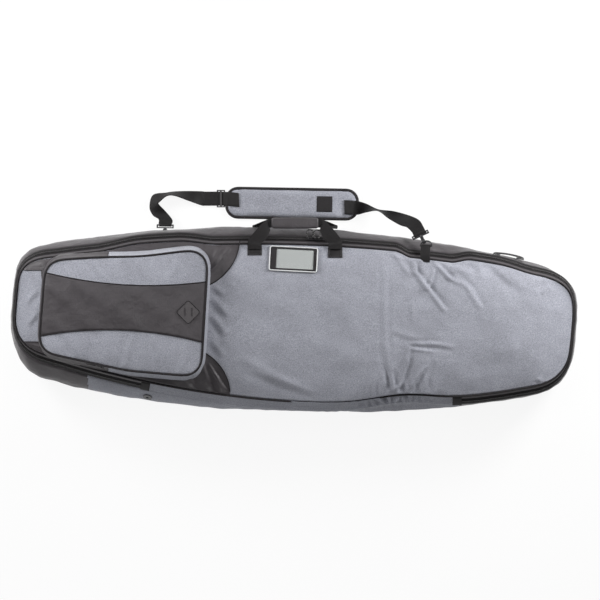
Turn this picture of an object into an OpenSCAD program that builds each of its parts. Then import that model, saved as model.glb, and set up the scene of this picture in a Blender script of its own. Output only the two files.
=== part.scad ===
// Padded board bag lying on its back: a tray and a zipped lid, a boot pocket, handles and a shoulder strap

/* [Outline] */
// Distance from the origin to the left end of the front seam
seam_left = 725; // [690:1:780]
// Distance from the origin to the right end of the front seam
seam_right = 722; // [690:1:780]
// Slant of the two blunt ends
end_slant = 5; // [0:0.5:7]
// Radius of the long top edge
top_r = 4000; // [3200:10:5000]
// Place along the bag where the top edge stands highest
top_x = -110; // [-150:1:-70]
// Height of the top edge above the origin
top_y = 190; // [180:1:210]
// Radius of the long bottom edge
bottom_r = 2600; // [2400:10:3400]
// Place along the bag where the bottom edge lies lowest
bottom_x = 150; // [100:1:200]
// Depth of the bottom edge below the origin
bottom_y = 226; // [215:1:245]
// Radius of the top left corner
corner_tl = 60; // [40:1:80]
// Radius of the bottom left corner
corner_bl = 90; // [60:1:110]
// Radius of the bottom right corner
corner_br = 100; // [60:1:120]
// Radius of the top right corner
corner_tr = 120; // [90:1:140]

/* [Body] */
// Height of the front seam above the floor
seam_z = 186; // [170:1:210]
// Rise of the front panel above its seam
crown = 26; // [15:1:35]
// Width of the sloping band that carries the zip
slope_w = 24; // [22:0.5:28]
// Distance from the seam to the middle of the zip, measured level
zip_at = 16; // [14.5:0.5:17]
// Greatest swell of the top side
belly_top = 25; // [15:1:32]
// Place along the bag where the top side swells most
belly_x = -200; // [-250:1:-100]
// Distance from there at which the top swell has died away
belly_reach = 800; // [700:10:1000]
// Swell of the bottom side on the right half
belly_bottom = 4; // [2:1:15]
// Growth of the bottom swell towards the left end, in mm per mm
belly_bottom_skew = 0.07; // [0:0.005:0.08]
// Swell of the two ends
belly_end = 3; // [0:1:10]
// Thickness of the outer cloth
cloth = 1.6; // [1:0.1:2]
// Thickness of the foam
foam = 5; // [3:0.5:7]
// Thickness of the lining
lining = 1.2; // [0.8:0.1:1.6]
// Radius of the piping in the seams
piping_r = 2.6; // [2:0.1:2.8]

/* [Zip] */
// Slot between the two zip halves
zip_slot = 1.6; // [1.4:0.1:2]
// Width of one chain half
chain_w = 2.6; // [2:0.1:3]
// Thickness of the chain
chain_t = 1.8; // [1.4:0.1:2.4]
// Left end of the zip along the bottom edge
zip_end_left = -392; // [-420:1:-360]
// Right end of the zip along the bottom edge
zip_end_right = 405; // [370:1:440]
// Place where the two sliders meet
slider_x = 48; // [20:1:70]

/* [Boot pocket] */
// Height of the pocket's face seam above the front seam
pocket_rise = 60; // [50:1:70]
// Crown of the pocket's face
pocket_crown = 10; // [5:1:14]
// Corner radius of the pocket
pocket_r = 42; // [35:1:45]
// Place of the fold where the pocket's flap swings
fold_x = -490; // [-520:1:-470]
// Height of the pocket's zip above the front seam
pocket_zip_rise = 40; // [36:1:44]

/* [Handles] */
// Width of the carry webbing
webbing_w = 38; // [30:1:44]
// Thickness of the webbing
webbing_t = 2; // [1.5:0.1:2.6]
// Half the spacing of the carry handle's ends
handle_half = 106; // [96:1:116]
// Length of the grip wrap
grip_l = 123; // [100:1:130]
// Width of the grip wrap
grip_w = 28; // [24:1:32]
// Thickness of the grip wrap
grip_t = 17; // [15:1:20]
// Reach of the grip's middle beyond the front seam
grip_reach = 58; // [56:1:66]
// Length of the grab handle near the right end
grab_l = 84; // [70:1:100]
// Place of the grab handle along the bag
grab_x = 560; // [540:1:580]

/* [Card window] */
// Width of the card frame
card_w = 128; // [110:1:140]
// Height of the card frame
card_h = 66; // [58:1:76]
// Width of the border round the window
card_border = 15; // [11:1:20]

/* [Shoulder strap] */
// Length of the shoulder pad
pad_l = 350; // [310:1:360]
// Width of the shoulder pad
pad_w = 77; // [68:1:84]
// Thickness of the shoulder pad
pad_t = 13; // [10:1:16]
// Distance from the front seam to the middle of the pad
pad_reach = 114; // [112:1:125]
// Place of the left ring along the bag
ring_left_x = -348; // [-370:1:-330]
// Place of the right ring along the bag
ring_right_x = 343; // [336:1:350]
// Radius of the rings' arc
ring_r = 15.5; // [14.5:0.5:17]
// Radius of the ring wire
wire_r = 2; // [1.6:0.1:2.2]
// Width of the ring tabs
tab_w = 25; // [20:1:26]

/* [Hidden] */
$fn = 48;
gap = 0.2;
run_gap = 0.4;
c45 = cos(45);
zip_z = seam_z - zip_at;
rim_z = seam_z - slope_w;
grey = "#7b7d83";
dark = "#2b2c30";
black = "#17181a";

// The front seam, as points with their outward normals, anticlockwise from the top right
top_c = [top_x, top_y - top_r];
bottom_c = [bottom_x, bottom_r - bottom_y];
left_n = 180 - end_slant;
right_n = 360 - end_slant;

function heading(a) = [cos(a), sin(a)];
function fillet_angle(c, big, r, line_n, reach, side) =
    line_n + side * acos((reach - r - c * heading(line_n)) / (big - r));
function arc(c, r, from, to, steps) =
    [for (i = [0:steps]) let (a = from + (to - from) * i / steps) [c + r * heading(a), heading(a)]];
function tail(list) = [for (i = [1:len(list) - 1]) list[i]];
function front(list) = [for (i = [0:len(list) - 2]) list[i]];

a_tl = fillet_angle(top_c, top_r, corner_tl, left_n, seam_left, -1);
a_tr = fillet_angle(top_c, top_r, corner_tr, right_n - 360, seam_right, 1);
a_bl = fillet_angle(bottom_c, bottom_r, corner_bl, left_n, seam_left, 1);
a_br = fillet_angle(bottom_c, bottom_r, corner_br, right_n, seam_right, -1);
seam = concat(
    arc(top_c, top_r, a_tr, a_tl, 22),
    tail(arc(top_c + (top_r - corner_tl) * heading(a_tl), corner_tl, a_tl, left_n, 4)),
    arc(bottom_c + (bottom_r - corner_bl) * heading(a_bl), corner_bl, left_n, a_bl, 5),
    tail(arc(bottom_c, bottom_r, a_bl, a_br, 16)),
    tail(arc(bottom_c + (bottom_r - corner_br) * heading(a_br), corner_br, a_br, right_n, 5)),
    front(arc(top_c + (top_r - corner_tr) * heading(a_tr), corner_tr, right_n - 360, a_tr, 6))
);
function seam_top(x) = top_y - top_r + sqrt(top_r * top_r - (x - top_x) * (x - top_x));
function seam_bottom(x) = bottom_r - bottom_y - sqrt(bottom_r * bottom_r - (x - bottom_x) * (x - bottom_x));

// Swell of the sides, level with the widest line
function top_swell(x) = belly_top * (1 - pow((x - belly_x) / belly_reach, 2));
function bottom_swell(x) = belly_bottom + belly_bottom_skew * max(0, -x);
function swell(p, n) = [n.x * belly_end, n.y * (n.y > 0 ? top_swell(p.x) : bottom_swell(p.x))];
// One loop round the bag: d outside the seam, s times the swell, at height z
function loop(d, s, z) =
    [for (q = seam) let (p = q[0] + d * q[1] + s * swell(q[0], q[1])) [p.x, p.y, z]];
function flat_loop(d, s = 0) = [for (p = loop(d, s, 0)) [p.x, p.y]];
// One loop on the zip's slope: t down the slope from the zip's middle, w out of it
function slope_loop(t, w) = loop(zip_at + (t + w) * c45, 0, zip_z + (w - t) * c45);

// Height, offset and swell of the gusset from the back seam to the rim
back_d = 3;
gusset_profile = [
    [2 * piping_r + 2 * gap, back_d, 0.05], [24, 14, 0.35], [56, 21, 0.8], [95, slope_w, 1],
    [128, slope_w, 0.8], [148, slope_w, 0.42], [rim_z - cloth * c45 / 2 - gap, slope_w, 0.04]
];
function gusset_loops(inset) = [for (g = gusset_profile) loop(g[1] - inset, g[2], g[0])];
// Foam and lining follow the main levels of the gusset and stop below the rim
inner_drop = 2;
function inner_loops(inset) = [for (i = [0, 2, 3, 4, 6]) let (g = gusset_profile[i])
    loop(g[1] - inset, g[2], min(g[0], rim_z - inner_drop))];
// Level distance outside the seam of the gusset at height z on the top side, at a place along the bag
function gusset_out(x, z) =
    lookup(z, [for (g = gusset_profile) [g[0], g[1] + g[2] * top_swell(x)]]);

// Every side face is split from its lower left to its upper right corner, so that layers stay parallel,
// and a strip's two broad faces along the same diagonal
module loft(loops, tube = false, flat = false) {
    m = len(loops);
    n = len(loops[0]);
    sides = [for (i = [0:(tube ? m - 1 : m - 2)]) for (j = [0:n - 1])
        let (k = (i + 1) % m, l = (j + 1) % n, a = i * n + j, b = k * n + j, c = k * n + l, d = i * n + l)
        each (flat ? j < 2 : loops[k][j].z >= loops[i][j].z)
            ? [[a, b, c], [a, c, d]] : [[a, b, d], [b, c, d]]];
    ends = tube ? [] : [[for (j = [0:n - 1]) j], [for (j = [n - 1:-1:0]) (m - 1) * n + j]];
    polyhedron([for (r = loops) each r], concat(sides, ends));
}
function flipped(list) = [for (i = [len(list) - 1:-1:0]) list[i]];
module gusset_cloth() {
    loft(concat(gusset_loops(0), flipped(gusset_loops(cloth))), true);
}
module inner_layer(from, to) {
    loft(concat(inner_loops(from), flipped(inner_loops(to))), true);
}
module slope_strip(t0, t1, w0, w1) {
    loft([slope_loop(t1, w1), slope_loop(t0, w1), slope_loop(t0, w0), slope_loop(t1, w0)], true);
}
// A round bead that follows a loop
module bead(loops_of, r) {
    loft([for (i = [0:5]) loops_of(r * cos(60 * i), r * sin(60 * i))], true);
}
// The stretch of the bottom edge that has no zip
module hinge_zone(clear) {
    translate([zip_end_left + clear, -2 * bottom_y, -1])
        cube([zip_end_right - zip_end_left - 2 * clear, 1.5 * bottom_y, 2 * seam_z]);
}

// The front panel's crowned top, raised by up
spine_x = 430;
spine_y = (top_y - bottom_y) / 2;
function inward(k, z) = [for (q = seam)
    let (m = [max(-spine_x, min(spine_x, q[0].x)), spine_y], p = m + k * (q[0] - m)) [p.x, p.y, z]];
function crown_at(k) = crown * (1 - k * k * k);
crown_steps = [1, 0.91, 0.76, 0.52, 0.24];
module dome(up) {
    loft(concat([inward(1, zip_z)], [for (k = crown_steps) inward(k, seam_z + crown_at(k) + up)]));
}
module panel_layer(lo, hi) {
    difference() {
        dome(hi);
        dome(lo);
    }
}
module on_panel(lo, hi) {
    intersection() {
        panel_layer(lo, hi);
        translate([0, 0, zip_z]) linear_extrude(2 * slope_w + 2 * crown) children();
    }
}

// A convex outline with rounded corners, as points with their outward normals
function side_n(a, b) = let (e = (b - a) / norm(b - a)) [e.y, -e.x];
function rounded(corners, r, steps) = [for (i = [0:len(corners) - 1])
    let (n = len(corners), p = corners[i], n1 = side_n(corners[(i + n - 1) % n], p),
        n2 = side_n(p, corners[(i + 1) % n]), c = p - r * (n1 + n2) / (1 + n1 * n2),
        a1 = atan2(n1.y, n1.x), turn = acos(n1 * n2))
    each arc(c, r, a1, a1 + turn, steps)];
function spread(outline, d, z) = [for (q = outline) [q[0].x + d * q[1].x, q[0].y + d * q[1].y, z]];
function flat_spread(outline, d) = [for (q = outline) q[0] + d * q[1]];
function box_corners(w, h) = [[-w / 2, -h / 2], [w / 2, -h / 2], [w / 2, h / 2], [-w / 2, h / 2]];

// Back panel and its layers
module back_panel() {
    color(dark) linear_extrude(cloth) polygon(flat_loop(back_d - 2 * gap, 0.05));
}
back_foam_top = gusset_profile[0][0] - gap;
module back_foam() {
    color("#c9c7c0") translate([0, 0, cloth + gap])
        linear_extrude(back_foam_top - cloth - gap) polygon(flat_loop(back_d - piping_r, 0.05));
}
module back_lining() {
    color(grey) translate([0, 0, back_foam_top + gap])
        linear_extrude(lining) polygon(flat_loop(back_d - cloth - foam - lining - 4 * gap - 2, 0.05));
}
module back_piping() {
    color(black) bead(function (a, z) loop(back_d + piping_r + a, 0.05, piping_r + gap + z), piping_r);
}

// Gusset: dark cloth round the bag, grey cloth at the hinge, foam and lining inside
base_edge_t = (slope_w - zip_at) / c45;
// Half the slot at the hinge, wide enough for the two edges to fold together
hinge_slot = zip_slot / 2 + 2 * gap;
module base_slope(t0) {
    slope_strip(t0, base_edge_t, -cloth / 2, cloth / 2);
}
module base_gusset() {
    color(dark) difference() {
        gusset_cloth();
        hinge_zone(0);
    }
}
module hinge_gusset() {
    color(grey) intersection() {
        union() {
            gusset_cloth();
            base_slope(hinge_slot);
        }
        hinge_zone(gap);
    }
}
foam_in = cloth + 4 * gap;
module gusset_foam() {
    color("#c9c7c0") inner_layer(foam_in, foam_in + foam);
}
module gusset_lining() {
    color(grey) inner_layer(foam_in + foam + gap, foam_in + foam + gap + lining);
}

// Zip halves: tapes on the slope, with the chain on top
module base_zip_tape() {
    color(black) difference() {
        base_slope(zip_slot / 2);
        hinge_zone(0);
    }
}
chain_w0 = cloth / 2 + gap;
module base_zip_chain() {
    color(black) difference() {
        slope_strip(zip_slot / 2, zip_slot / 2 + chain_w, chain_w0, chain_w0 + chain_t);
        hinge_zone(0);
    }
}
piping_out = 2 * piping_r + 2 * gap;
band_t0 = (piping_out - zip_at) / c45;
tape_t0 = -zip_slot / 2 - chain_w - 3.5;
module lid_band() {
    color(dark) union() {
        difference() {
            slope_strip(band_t0, tape_t0 - gap, -cloth / 2, cloth / 2);
            hinge_zone(0);
        }
        intersection() {
            slope_strip(band_t0, -hinge_slot, -cloth / 2, cloth / 2);
            hinge_zone(0);
        }
    }
}
module lid_zip_tape() {
    color(black) difference() {
        slope_strip(tape_t0, -zip_slot / 2, -cloth / 2, cloth / 2);
        hinge_zone(-gap);
    }
}
module lid_zip_chain() {
    color(black) difference() {
        slope_strip(-zip_slot / 2 - chain_w, -zip_slot / 2, chain_w0, chain_w0 + chain_t);
        hinge_zone(-gap);
    }
}
// A stitched tab of webbing across each end of the zip, on the base side
end_tab = [26, 7, webbing_t];
module zip_end_tab(x) {
    a = 180 / PI * (x - bottom_x) / bottom_r;
    translate([x, seam_bottom(x), 0]) rotate([0, 0, a])
        translate([-end_tab.x / 2, -zip_at, zip_z]) rotate([45, 0, 0])
            translate([0, -zip_slot / 2 - chain_w - gap - end_tab.y, cloth / 2 + gap]) cube(end_tab);
}
module zip_end_tabs() {
    color(black) for (x = [zip_end_left, zip_end_right]) zip_end_tab(x);
}

// Places on the long edges: d outside the seam and s times the swell
function top_n(x) = heading(90 - asin((x - top_x) / top_r));
function bottom_n(x) = heading(270 + asin((x - bottom_x) / bottom_r));
function at_top(x, d, s = 0) =
    let (p = [x, seam_top(x)]) p + d * top_n(x) + s * swell(p, top_n(x));
function at_bottom(x, d, s = 0) =
    let (p = [x, seam_bottom(x)]) p + d * bottom_n(x) + s * swell(p, bottom_n(x));
function raised(p, z) = [p.x, p.y, z];
function unit(v) = v / norm(v);

// A flat strip of webbing through stations of [middle, half width as a vector]
function strip_loop(p, u, way, t) =
    let (n = unit(cross(way, u)) * t / 2) [p - u - n, p + u - n, p + u + n, p - u + n];
function way_at(st, i) = unit(st[min(i + 1, len(st) - 1)][0] - st[max(i - 1, 0)][0]);
module strip(st, t) {
    loft([for (i = [0:len(st) - 1]) strip_loop(st[i][0], st[i][1], way_at(st, i), t)], flat = true);
}
// More stations between the given ones, on a smooth curve through their middles
function curve(a, b, c, d, f) =
    b + f / 2 * (c - a) + f * f * (a - 2.5 * b + 2 * c - 0.5 * d) + f * f * f / 2 * (3 * b - 3 * c + d - a);
function eased(st, steps) = concat([for (i = [0:len(st) - 2]) for (k = [0:steps - 1])
    let (f = k / steps, a = st[max(i - 1, 0)], b = st[i], c = st[i + 1], d = st[min(i + 2, len(st) - 1)],
        wide = norm(b[1]) + f * (norm(c[1]) - norm(b[1])))
    [curve(a[0], b[0], c[0], d[0], f), wide * unit(b[1] + f * (c[1] - b[1]))]], [st[len(st) - 1]]);
// The same stations with each half width turned square to the way the strip runs
function squared(st) = [for (i = [0:len(st) - 1])
    let (d = way_at(st, i), u = st[i][1]) [st[i][0], norm(u) * unit(u - (u * d) * d)]];
// The bag's outside below the rim, grown by a clearance
module gusset_core(grow) {
    loft(gusset_loops(-grow));
}

// Drain eyelet low on the bottom gusset
drain_x = -385;
drain_r = 4;
module drain_grommet() {
    low = gusset_profile[4];
    high = gusset_profile[5];
    a = at_bottom(drain_x, low[1], low[2]);
    b = at_bottom(drain_x, high[1], high[2]);
    lean = atan2(norm(a - b), high[0] - low[0]);
    n = bottom_n(drain_x);
    mid = (a + b) / 2 + (cloth / 2) * n;
    color("#50535a") translate(raised(mid, (low[0] + high[0]) / 2)) rotate([0, 0, atan2(n.y, n.x)])
        rotate([0, 90 - lean, 0]) rotate_extrude() translate([drain_r, 0]) square([2 * drain_r, 1.6]);
}

// Carry handle: the front loop folds at the front seam, the back loop stays on the gusset
grip_y = seam_top(0) + grip_reach;
grip_z = seam_z - 6;
fold = [seam_top(0) + 2 * piping_r + 3, seam_z + piping_r + 3];
patch_h = 27;
module handle_patches() {
    color(black) intersection() {
        panel_layer(gap, gap + webbing_t);
        for (side = [-1, 1])
            translate([side * handle_half - webbing_w / 2, seam_top(side * handle_half) - 2 - patch_h, zip_z])
                cube([webbing_w, patch_h, 2 * slope_w + crown]);
    }
}
module carry_handle() {
    grip_end = grip_l / 2 - 4;
    left = [
        [[-handle_half, fold.x, fold.y], [webbing_w / 2 - 1, -3, 0]],
        [[-handle_half + 14, fold.x + 16, fold.y - 3], [webbing_w / 2 - 2, -8, 0]],
        [[-grip_end - 16, grip_y - 8, grip_z + 3], [7, -12, 0]],
        [[-grip_end, grip_y, grip_z], [0, -grip_w / 2 + 4, 0]]
    ];
    right = [for (s = flipped(left)) [[-s[0].x, s[0].y, s[0].z], [-s[1].x, s[1].y, s[1].z]]];
    color(black) strip(eased(concat(left, right), 3), webbing_t);
}
module grip_wrap() {
    shell = rounded(box_corners(grip_w, grip_t), 6, 5);
    color(black) translate([-grip_l / 2, grip_y, grip_z]) rotate([90, 0, 90]) linear_extrude(grip_l)
        difference() {
            polygon(flat_spread(shell, 0));
            square([grip_w - 6, webbing_t + 2 * run_gap], center = true);
        }
}
module back_handle() {
    low_z = 60;
    under = grip_z - grip_t / 2 - webbing_t / 2 - 2 * run_gap;
    half = handle_half - 12;
    grip_end = grip_l / 2 - 2;
    wide = webbing_w / 2;
    reach = function (x, z) seam_top(x) + gusset_out(x, z) + webbing_t / 2 + 3 * run_gap;
    flat = function (x, z) [wide, (reach(x + wide, z) - reach(x - wide, z)) / 2, 0];
    leg = function (side) [
        [[side * half, reach(side * half, low_z), low_z], -side * flat(side * half, low_z)],
        [[side * half, reach(side * half, 98), 98], -side * flat(side * half, 98)],
        [[side * (half - 6), grip_y - 5, 132], [side * (2 - webbing_w / 2), -2, 0]],
        [[side * (grip_end + 10), grip_y, under - 6], [-side * 7, -8, 0]],
        [[side * (grip_end - 8), grip_y, under], [0, -grip_w / 2 + 5, 0]],
        [[side * (grip_end - 16), grip_y, under], [0, -grip_w / 2 + 5, 0]]
    ];
    color(black) strip(squared(eased(concat(leg(-1), flipped(leg(1))), 3)), webbing_t);
}

// Grab handle near the right end: a stiff loop that hangs from the gusset below the zip
grab_z = rim_z - 10;
grab_droop = 58;
grab_turn = -asin((grab_x - top_x) / top_r);
grab_tab = [20, 6, 14];
grab_clear = webbing_t / 2 + gap;
grab_pivot = raised(at_top(grab_x, gusset_out(grab_x, grab_z) + webbing_t + 1.2), grab_z);
module at_grab() {
    translate(grab_pivot) rotate([0, 0, grab_turn]) children();
}
module grab_handle_tabs() {
    color(black) difference() {
        at_grab() for (side = [-1, 1])
            translate([side * (grab_l / 2 - 10) - grab_tab.x / 2, -grab_tab.y, -grab_clear - grab_tab.z])
                cube([grab_tab.x, grab_tab.y - grab_clear, grab_tab.z]);
        gusset_core(gap);
    }
}
module grab_handle() {
    h = 24;
    arch = [
        [[10 - grab_l / 2, 0, 0], [9, 0, 0]],
        [[16 - grab_l / 2, h * 0.6, 0], [8, -5, 0]],
        [[34 - grab_l / 2, h, 0], [3, -9, 0]]
    ];
    right = [for (s = flipped(arch)) [[-s[0].x, s[0].y, s[0].z], [-s[1].x, s[1].y, s[1].z]]];
    color(black) at_grab() rotate([-grab_droop, 0, 0]) strip(eased(concat(arch, right), 3), webbing_t);
}

// Front panel: grey cloth with dark yokes and a grey end, over foam and lining
upper_yoke_c = [-283, top_y + 19];
upper_yoke_r = 138;
lower_yoke_c = [-297, 20 - bottom_y];
lower_yoke_r = 126;
end_w = 60;
end_low = -66;
end_high = 122;
// A yoke fills the corner beyond a level line that turns round into the front seam
module yoke_shape(c, r, side, clear) {
    translate(c) circle(r = r - clear, $fn = 96);
    translate([-2 * seam_left, side > 0 ? c.y - r + clear : c.y - r])
        square([2 * seam_left + c.x, 2 * r - clear]);
}
module upper_yoke_shape(clear) {
    difference() {
        yoke_shape(upper_yoke_c, upper_yoke_r, 1, clear);
        end_shape(-clear);
    }
}
module lower_yoke_shape(clear) {
    difference() {
        yoke_shape(lower_yoke_c, lower_yoke_r, -1, clear);
        end_shape(-clear);
    }
}
module end_shape(clear) {
    translate([-2 * seam_left, end_low + clear])
        square([seam_left + end_w - clear, end_high - end_low - 2 * clear]);
}
module front_panel() {
    color(grey) difference() {
        panel_layer(-cloth, 0);
        translate([0, 0, zip_z]) linear_extrude(3 * slope_w) {
            upper_yoke_shape(0);
            lower_yoke_shape(0);
            end_shape(0);
        }
    }
}
module upper_yoke() {
    color(dark) on_panel(-cloth, 0) upper_yoke_shape(gap);
}
module lower_yoke() {
    color(dark) on_panel(-cloth, 0) lower_yoke_shape(gap);
}
module end_panel() {
    color(grey) on_panel(-cloth, 0) end_shape(gap);
}
module front_foam() {
    color("#c9c7c0") on_panel(-cloth - gap - foam, -cloth - gap) polygon(flat_loop(-2));
}
module front_lining() {
    deep = cloth + foam + 2 * gap;
    color(grey) on_panel(-deep - lining, -deep) polygon(flat_loop(-3));
}
module front_piping() {
    color(black) bead(function (a, z) loop(piping_r + gap + a, 0, seam_z + z), piping_r);
}

// Card window on the front panel
card_tilt = -3;
module at_card() {
    translate([-4, seam_top(0) - 4 - card_h / 2]) rotate(card_tilt) children();
}
module card_outline(inset) {
    polygon(flat_spread(rounded(box_corners(card_w - 2 * inset, card_h - 2 * inset), 5, 3), 0));
}
module card_hole(inset) {
    translate([4, 0])
        square([card_w - 2 * card_border - inset, card_h - card_border - inset], center = true);
}
module card_frame() {
    color(black) on_panel(gap, gap + 3) at_card() difference() {
        card_outline(0);
        card_hole(0);
    }
}
module card() {
    color("#d8d8d4") on_panel(gap, gap + 0.6) at_card() card_hole(2 * gap);
}
module card_window() {
    color("#b9bec4", 0.5) on_panel(2 * gap + 0.6, 2 * gap + 1.4) at_card() card_hole(2 * gap);
}

// Main sliders and their cord pulls, in a frame with X along the zip, Y down the slope and Z out of it
bail_w = 2.4;
plate = 1.3;
slider_l = 17;
slider_half = 5.5;
plate_z = chain_w0 + chain_t + run_gap;
bail_z = plate_z + plate + 2.6;
slider_pitch = 180 / PI * (slider_l / 2 + 1) / (top_r + zip_at);
slider_at = 90 - asin((slider_x - top_x) / top_r);
module on_zip(angle) {
    translate(top_c) rotate([0, 0, angle - 90]) translate([0, top_r + zip_at, zip_z]) rotate([-45, 0, 0])
        children();
}
module slider_plate(y0, y1) {
    intersection() {
        polygon(flat_spread(rounded(
            [[-slider_l / 2, -slider_half + 1], [slider_l / 2, -slider_half], [slider_l / 2, slider_half],
                [-slider_l / 2, slider_half - 1]], 3, 4), 0));
        translate([-slider_l, y0]) square([2 * slider_l, y1 - y0]);
    }
}
module slider(bail_turn = 0) {
    inner_z = -cloth / 2 - run_gap - plate;
    translate([0, 0, plate_z]) linear_extrude(plate) slider_plate(-slider_half, slider_half);
    translate([0, 0, inner_z]) linear_extrude(plate) slider_plate(-slider_half, zip_slot / 4);
    translate([-3, -zip_slot / 4, inner_z]) cube([6, zip_slot / 2, plate_z - inner_z]);
    rotate([0, 0, bail_turn]) difference() {
        translate([-bail_w / 2, -4, plate_z + plate]) cube([bail_w, 8, 5.4]);
        translate([-bail_w, 0, bail_z]) rotate([0, 90, 0]) cylinder(r = 2, h = 2 * bail_w);
    }
}
module left_slider() {
    color(black) on_zip(slider_at + slider_pitch) mirror([1, 0, 0]) slider();
}
module right_slider() {
    color(black) on_zip(slider_at - slider_pitch) slider();
}
cord_r = 1.5;
pull_l = 36;
pull_lean = 8;
module half_ring(half) {
    rotate_extrude(angle = 180) translate([half, 0]) circle(r = cord_r);
}
// A loop of cord through the bail, running along Y
module cord_loop(half, length) {
    run = length - 2 * half;
    translate([0, half, 0]) {
        rotate([0, 0, 180]) half_ring(half);
        for (side = [-1, 1])
            translate([side * half, 0, 0]) rotate([-90, 0, 0]) cylinder(r = cord_r, h = run);
        translate([0, run, 0]) half_ring(half);
    }
}
module zip_pull() {
    translate([0, 0, bail_z]) rotate([-pull_lean, 0, 0]) cord_loop(8, pull_l);
}
module left_zip_pull() {
    color("#4a4c50") on_zip(slider_at + slider_pitch) zip_pull();
}
module right_zip_pull() {
    color("#4a4c50") on_zip(slider_at - slider_pitch) zip_pull();
}

// Boot pocket on the left of the front panel, set in from the front seam
pocket_left = -seam_left + 54;
pocket_right = -227;
pocket_bend = -440;
pocket_outline = rounded([
    [pocket_left, seam_bottom(pocket_left) + 3], [pocket_bend, seam_bottom(pocket_bend) + 18],
    [pocket_right - 20, seam_bottom(pocket_right - 20) + 38], [pocket_right, seam_top(pocket_right) - 12],
    [pocket_left + 19, seam_top(pocket_left + 19) - 7]
], pocket_r, 6);
pocket_z = seam_z + pocket_rise;
pocket_zip_z = seam_z + pocket_zip_rise;
pocket_mid = [(pocket_left + pocket_right) / 2, 10];
pocket_steps = [1, 0.94, 0.8, 0.6, 0.3];
function pocket_in(k, z) = [for (p = spread(pocket_outline, 0, z))
    [pocket_mid.x + k * (p.x - pocket_mid.x), pocket_mid.y + k * (p.y - pocket_mid.y), z]];
module pocket_dome(up) {
    loft(concat([pocket_in(1, pocket_zip_z)],
        [for (k = pocket_steps) pocket_in(k, pocket_z + pocket_crown * (1 - k * k * k) + up)]));
}
module on_pocket(lo, hi) {
    intersection() {
        difference() {
            pocket_dome(hi);
            pocket_dome(lo);
        }
        translate([0, 0, pocket_zip_z]) linear_extrude(2 * pocket_rise) children();
    }
}
// A wall round the pocket, from a profile of [distance outside the outline, height]
module pocket_wall(profile) {
    loft([for (q = profile) spread(pocket_outline, q[0], q[1])], true);
}
module left_of_fold(clear) {
    translate([-2 * seam_left, -2 * bottom_y, 0])
        cube([2 * seam_left + fold_x - clear, 4 * bottom_y, 3 * seam_z]);
}
module right_of_fold(clear) {
    translate([fold_x + clear, -2 * bottom_y, 0]) cube([2 * seam_left, 4 * bottom_y, 3 * seam_z]);
}
wall_foot = seam_z - 6;
foot_flare = 8;
knee_z = pocket_zip_z - 12;
wall_top = pocket_z - cloth - gap;
chain_top = pocket_zip_z - zip_slot / 2;
chain_foot = pocket_zip_z + zip_slot / 2;
chain_out = gap + chain_t;
module pocket_gusset() {
    color(grey) difference() {
        intersection() {
            pocket_wall([[foot_flare, wall_foot], [0, knee_z], [0, wall_top],
                [-cloth, wall_top], [-cloth, knee_z], [foot_flare - cloth, wall_foot]]);
            right_of_fold(run_gap);
        }
        dome(gap);
    }
}
// The zipped stretch: each half of the chain stands out of the cloth beside the slot
module pocket_zip_gusset() {
    color(dark) difference() {
        intersection() {
            pocket_wall([[foot_flare, wall_foot], [0, knee_z], [0, chain_top - chain_w],
                [chain_out, chain_top - chain_w], [chain_out, chain_top], [-cloth, chain_top],
                [-cloth, knee_z], [foot_flare - cloth, wall_foot]]);
            left_of_fold(0);
        }
        dome(gap);
    }
}
// Beside the fold the wall ends higher, so that it swings clear of the parked slider
flap_notch = [32, 5.5];
module flap_gusset() {
    color(dark) difference() {
        intersection() {
            pocket_wall([[chain_out, chain_foot], [chain_out, chain_foot + chain_w],
                [0, chain_foot + chain_w], [0, wall_top], [-cloth, wall_top], [-cloth, chain_foot]]);
            left_of_fold(run_gap);
        }
        translate([fold_x - flap_notch.x, -bottom_y, chain_foot - 1])
            cube([2 * flap_notch.x, bottom_y, flap_notch.y + 1]);
    }
}
band_top_r = 1100;
band_low_r = 940;
band_top_y = 82;
band_low_y = -34;
module band_top(clear) {
    translate([fold_x + 110, band_top_y + band_top_r]) circle(r = band_top_r - clear, $fn = 180);
}
module band_low(clear) {
    translate([fold_x, band_low_y - band_low_r]) circle(r = band_low_r - clear, $fn = 180);
}
module pocket_side(left) {
    translate([left ? -2 * seam_left - run_gap : fold_x + run_gap, -2 * bottom_y])
        square([2 * seam_left + (left ? fold_x : 0), 4 * bottom_y]);
}
module face_upper(left) {
    on_pocket(-cloth, 0) intersection() {
        band_top(gap);
        pocket_side(left);
    }
}
module face_lower(left) {
    on_pocket(-cloth, 0) intersection() {
        band_low(gap);
        pocket_side(left);
    }
}
module face_band(left) {
    on_pocket(-cloth, 0) difference() {
        pocket_side(left);
        band_top(0);
        band_low(0);
    }
}
module pocket_upper_panel() {
    color(grey) face_upper(false);
}
module pocket_band() {
    color(dark) face_band(false);
}
module pocket_lower_panel() {
    color(grey) face_lower(false);
}
module flap_upper_panel() {
    color(grey) face_upper(true);
}
module flap_band() {
    color(dark) face_band(true);
}
module flap_lower_panel() {
    color(grey) face_lower(true);
}
module face_bead() {
    bead(function (a, z) spread(pocket_outline, piping_r / 2 + gap + a / 2, pocket_z + z), piping_r);
}
module pocket_piping() {
    color(black) intersection() {
        face_bead();
        right_of_fold(run_gap);
    }
}
module flap_piping() {
    color(black) intersection() {
        face_bead();
        left_of_fold(run_gap);
    }
}
lash_side = 46;
module lash_tab() {
    color(black) on_pocket(gap, gap + 2.4) translate([pocket_right - 52, 12]) rotate(45) difference() {
        polygon(flat_spread(rounded(box_corners(lash_side, lash_side), 7, 4), 0));
        rotate(-45) for (side = [-1, 1]) translate([side * 9, 0]) square([5, 22], center = true);
    }
}
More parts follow.
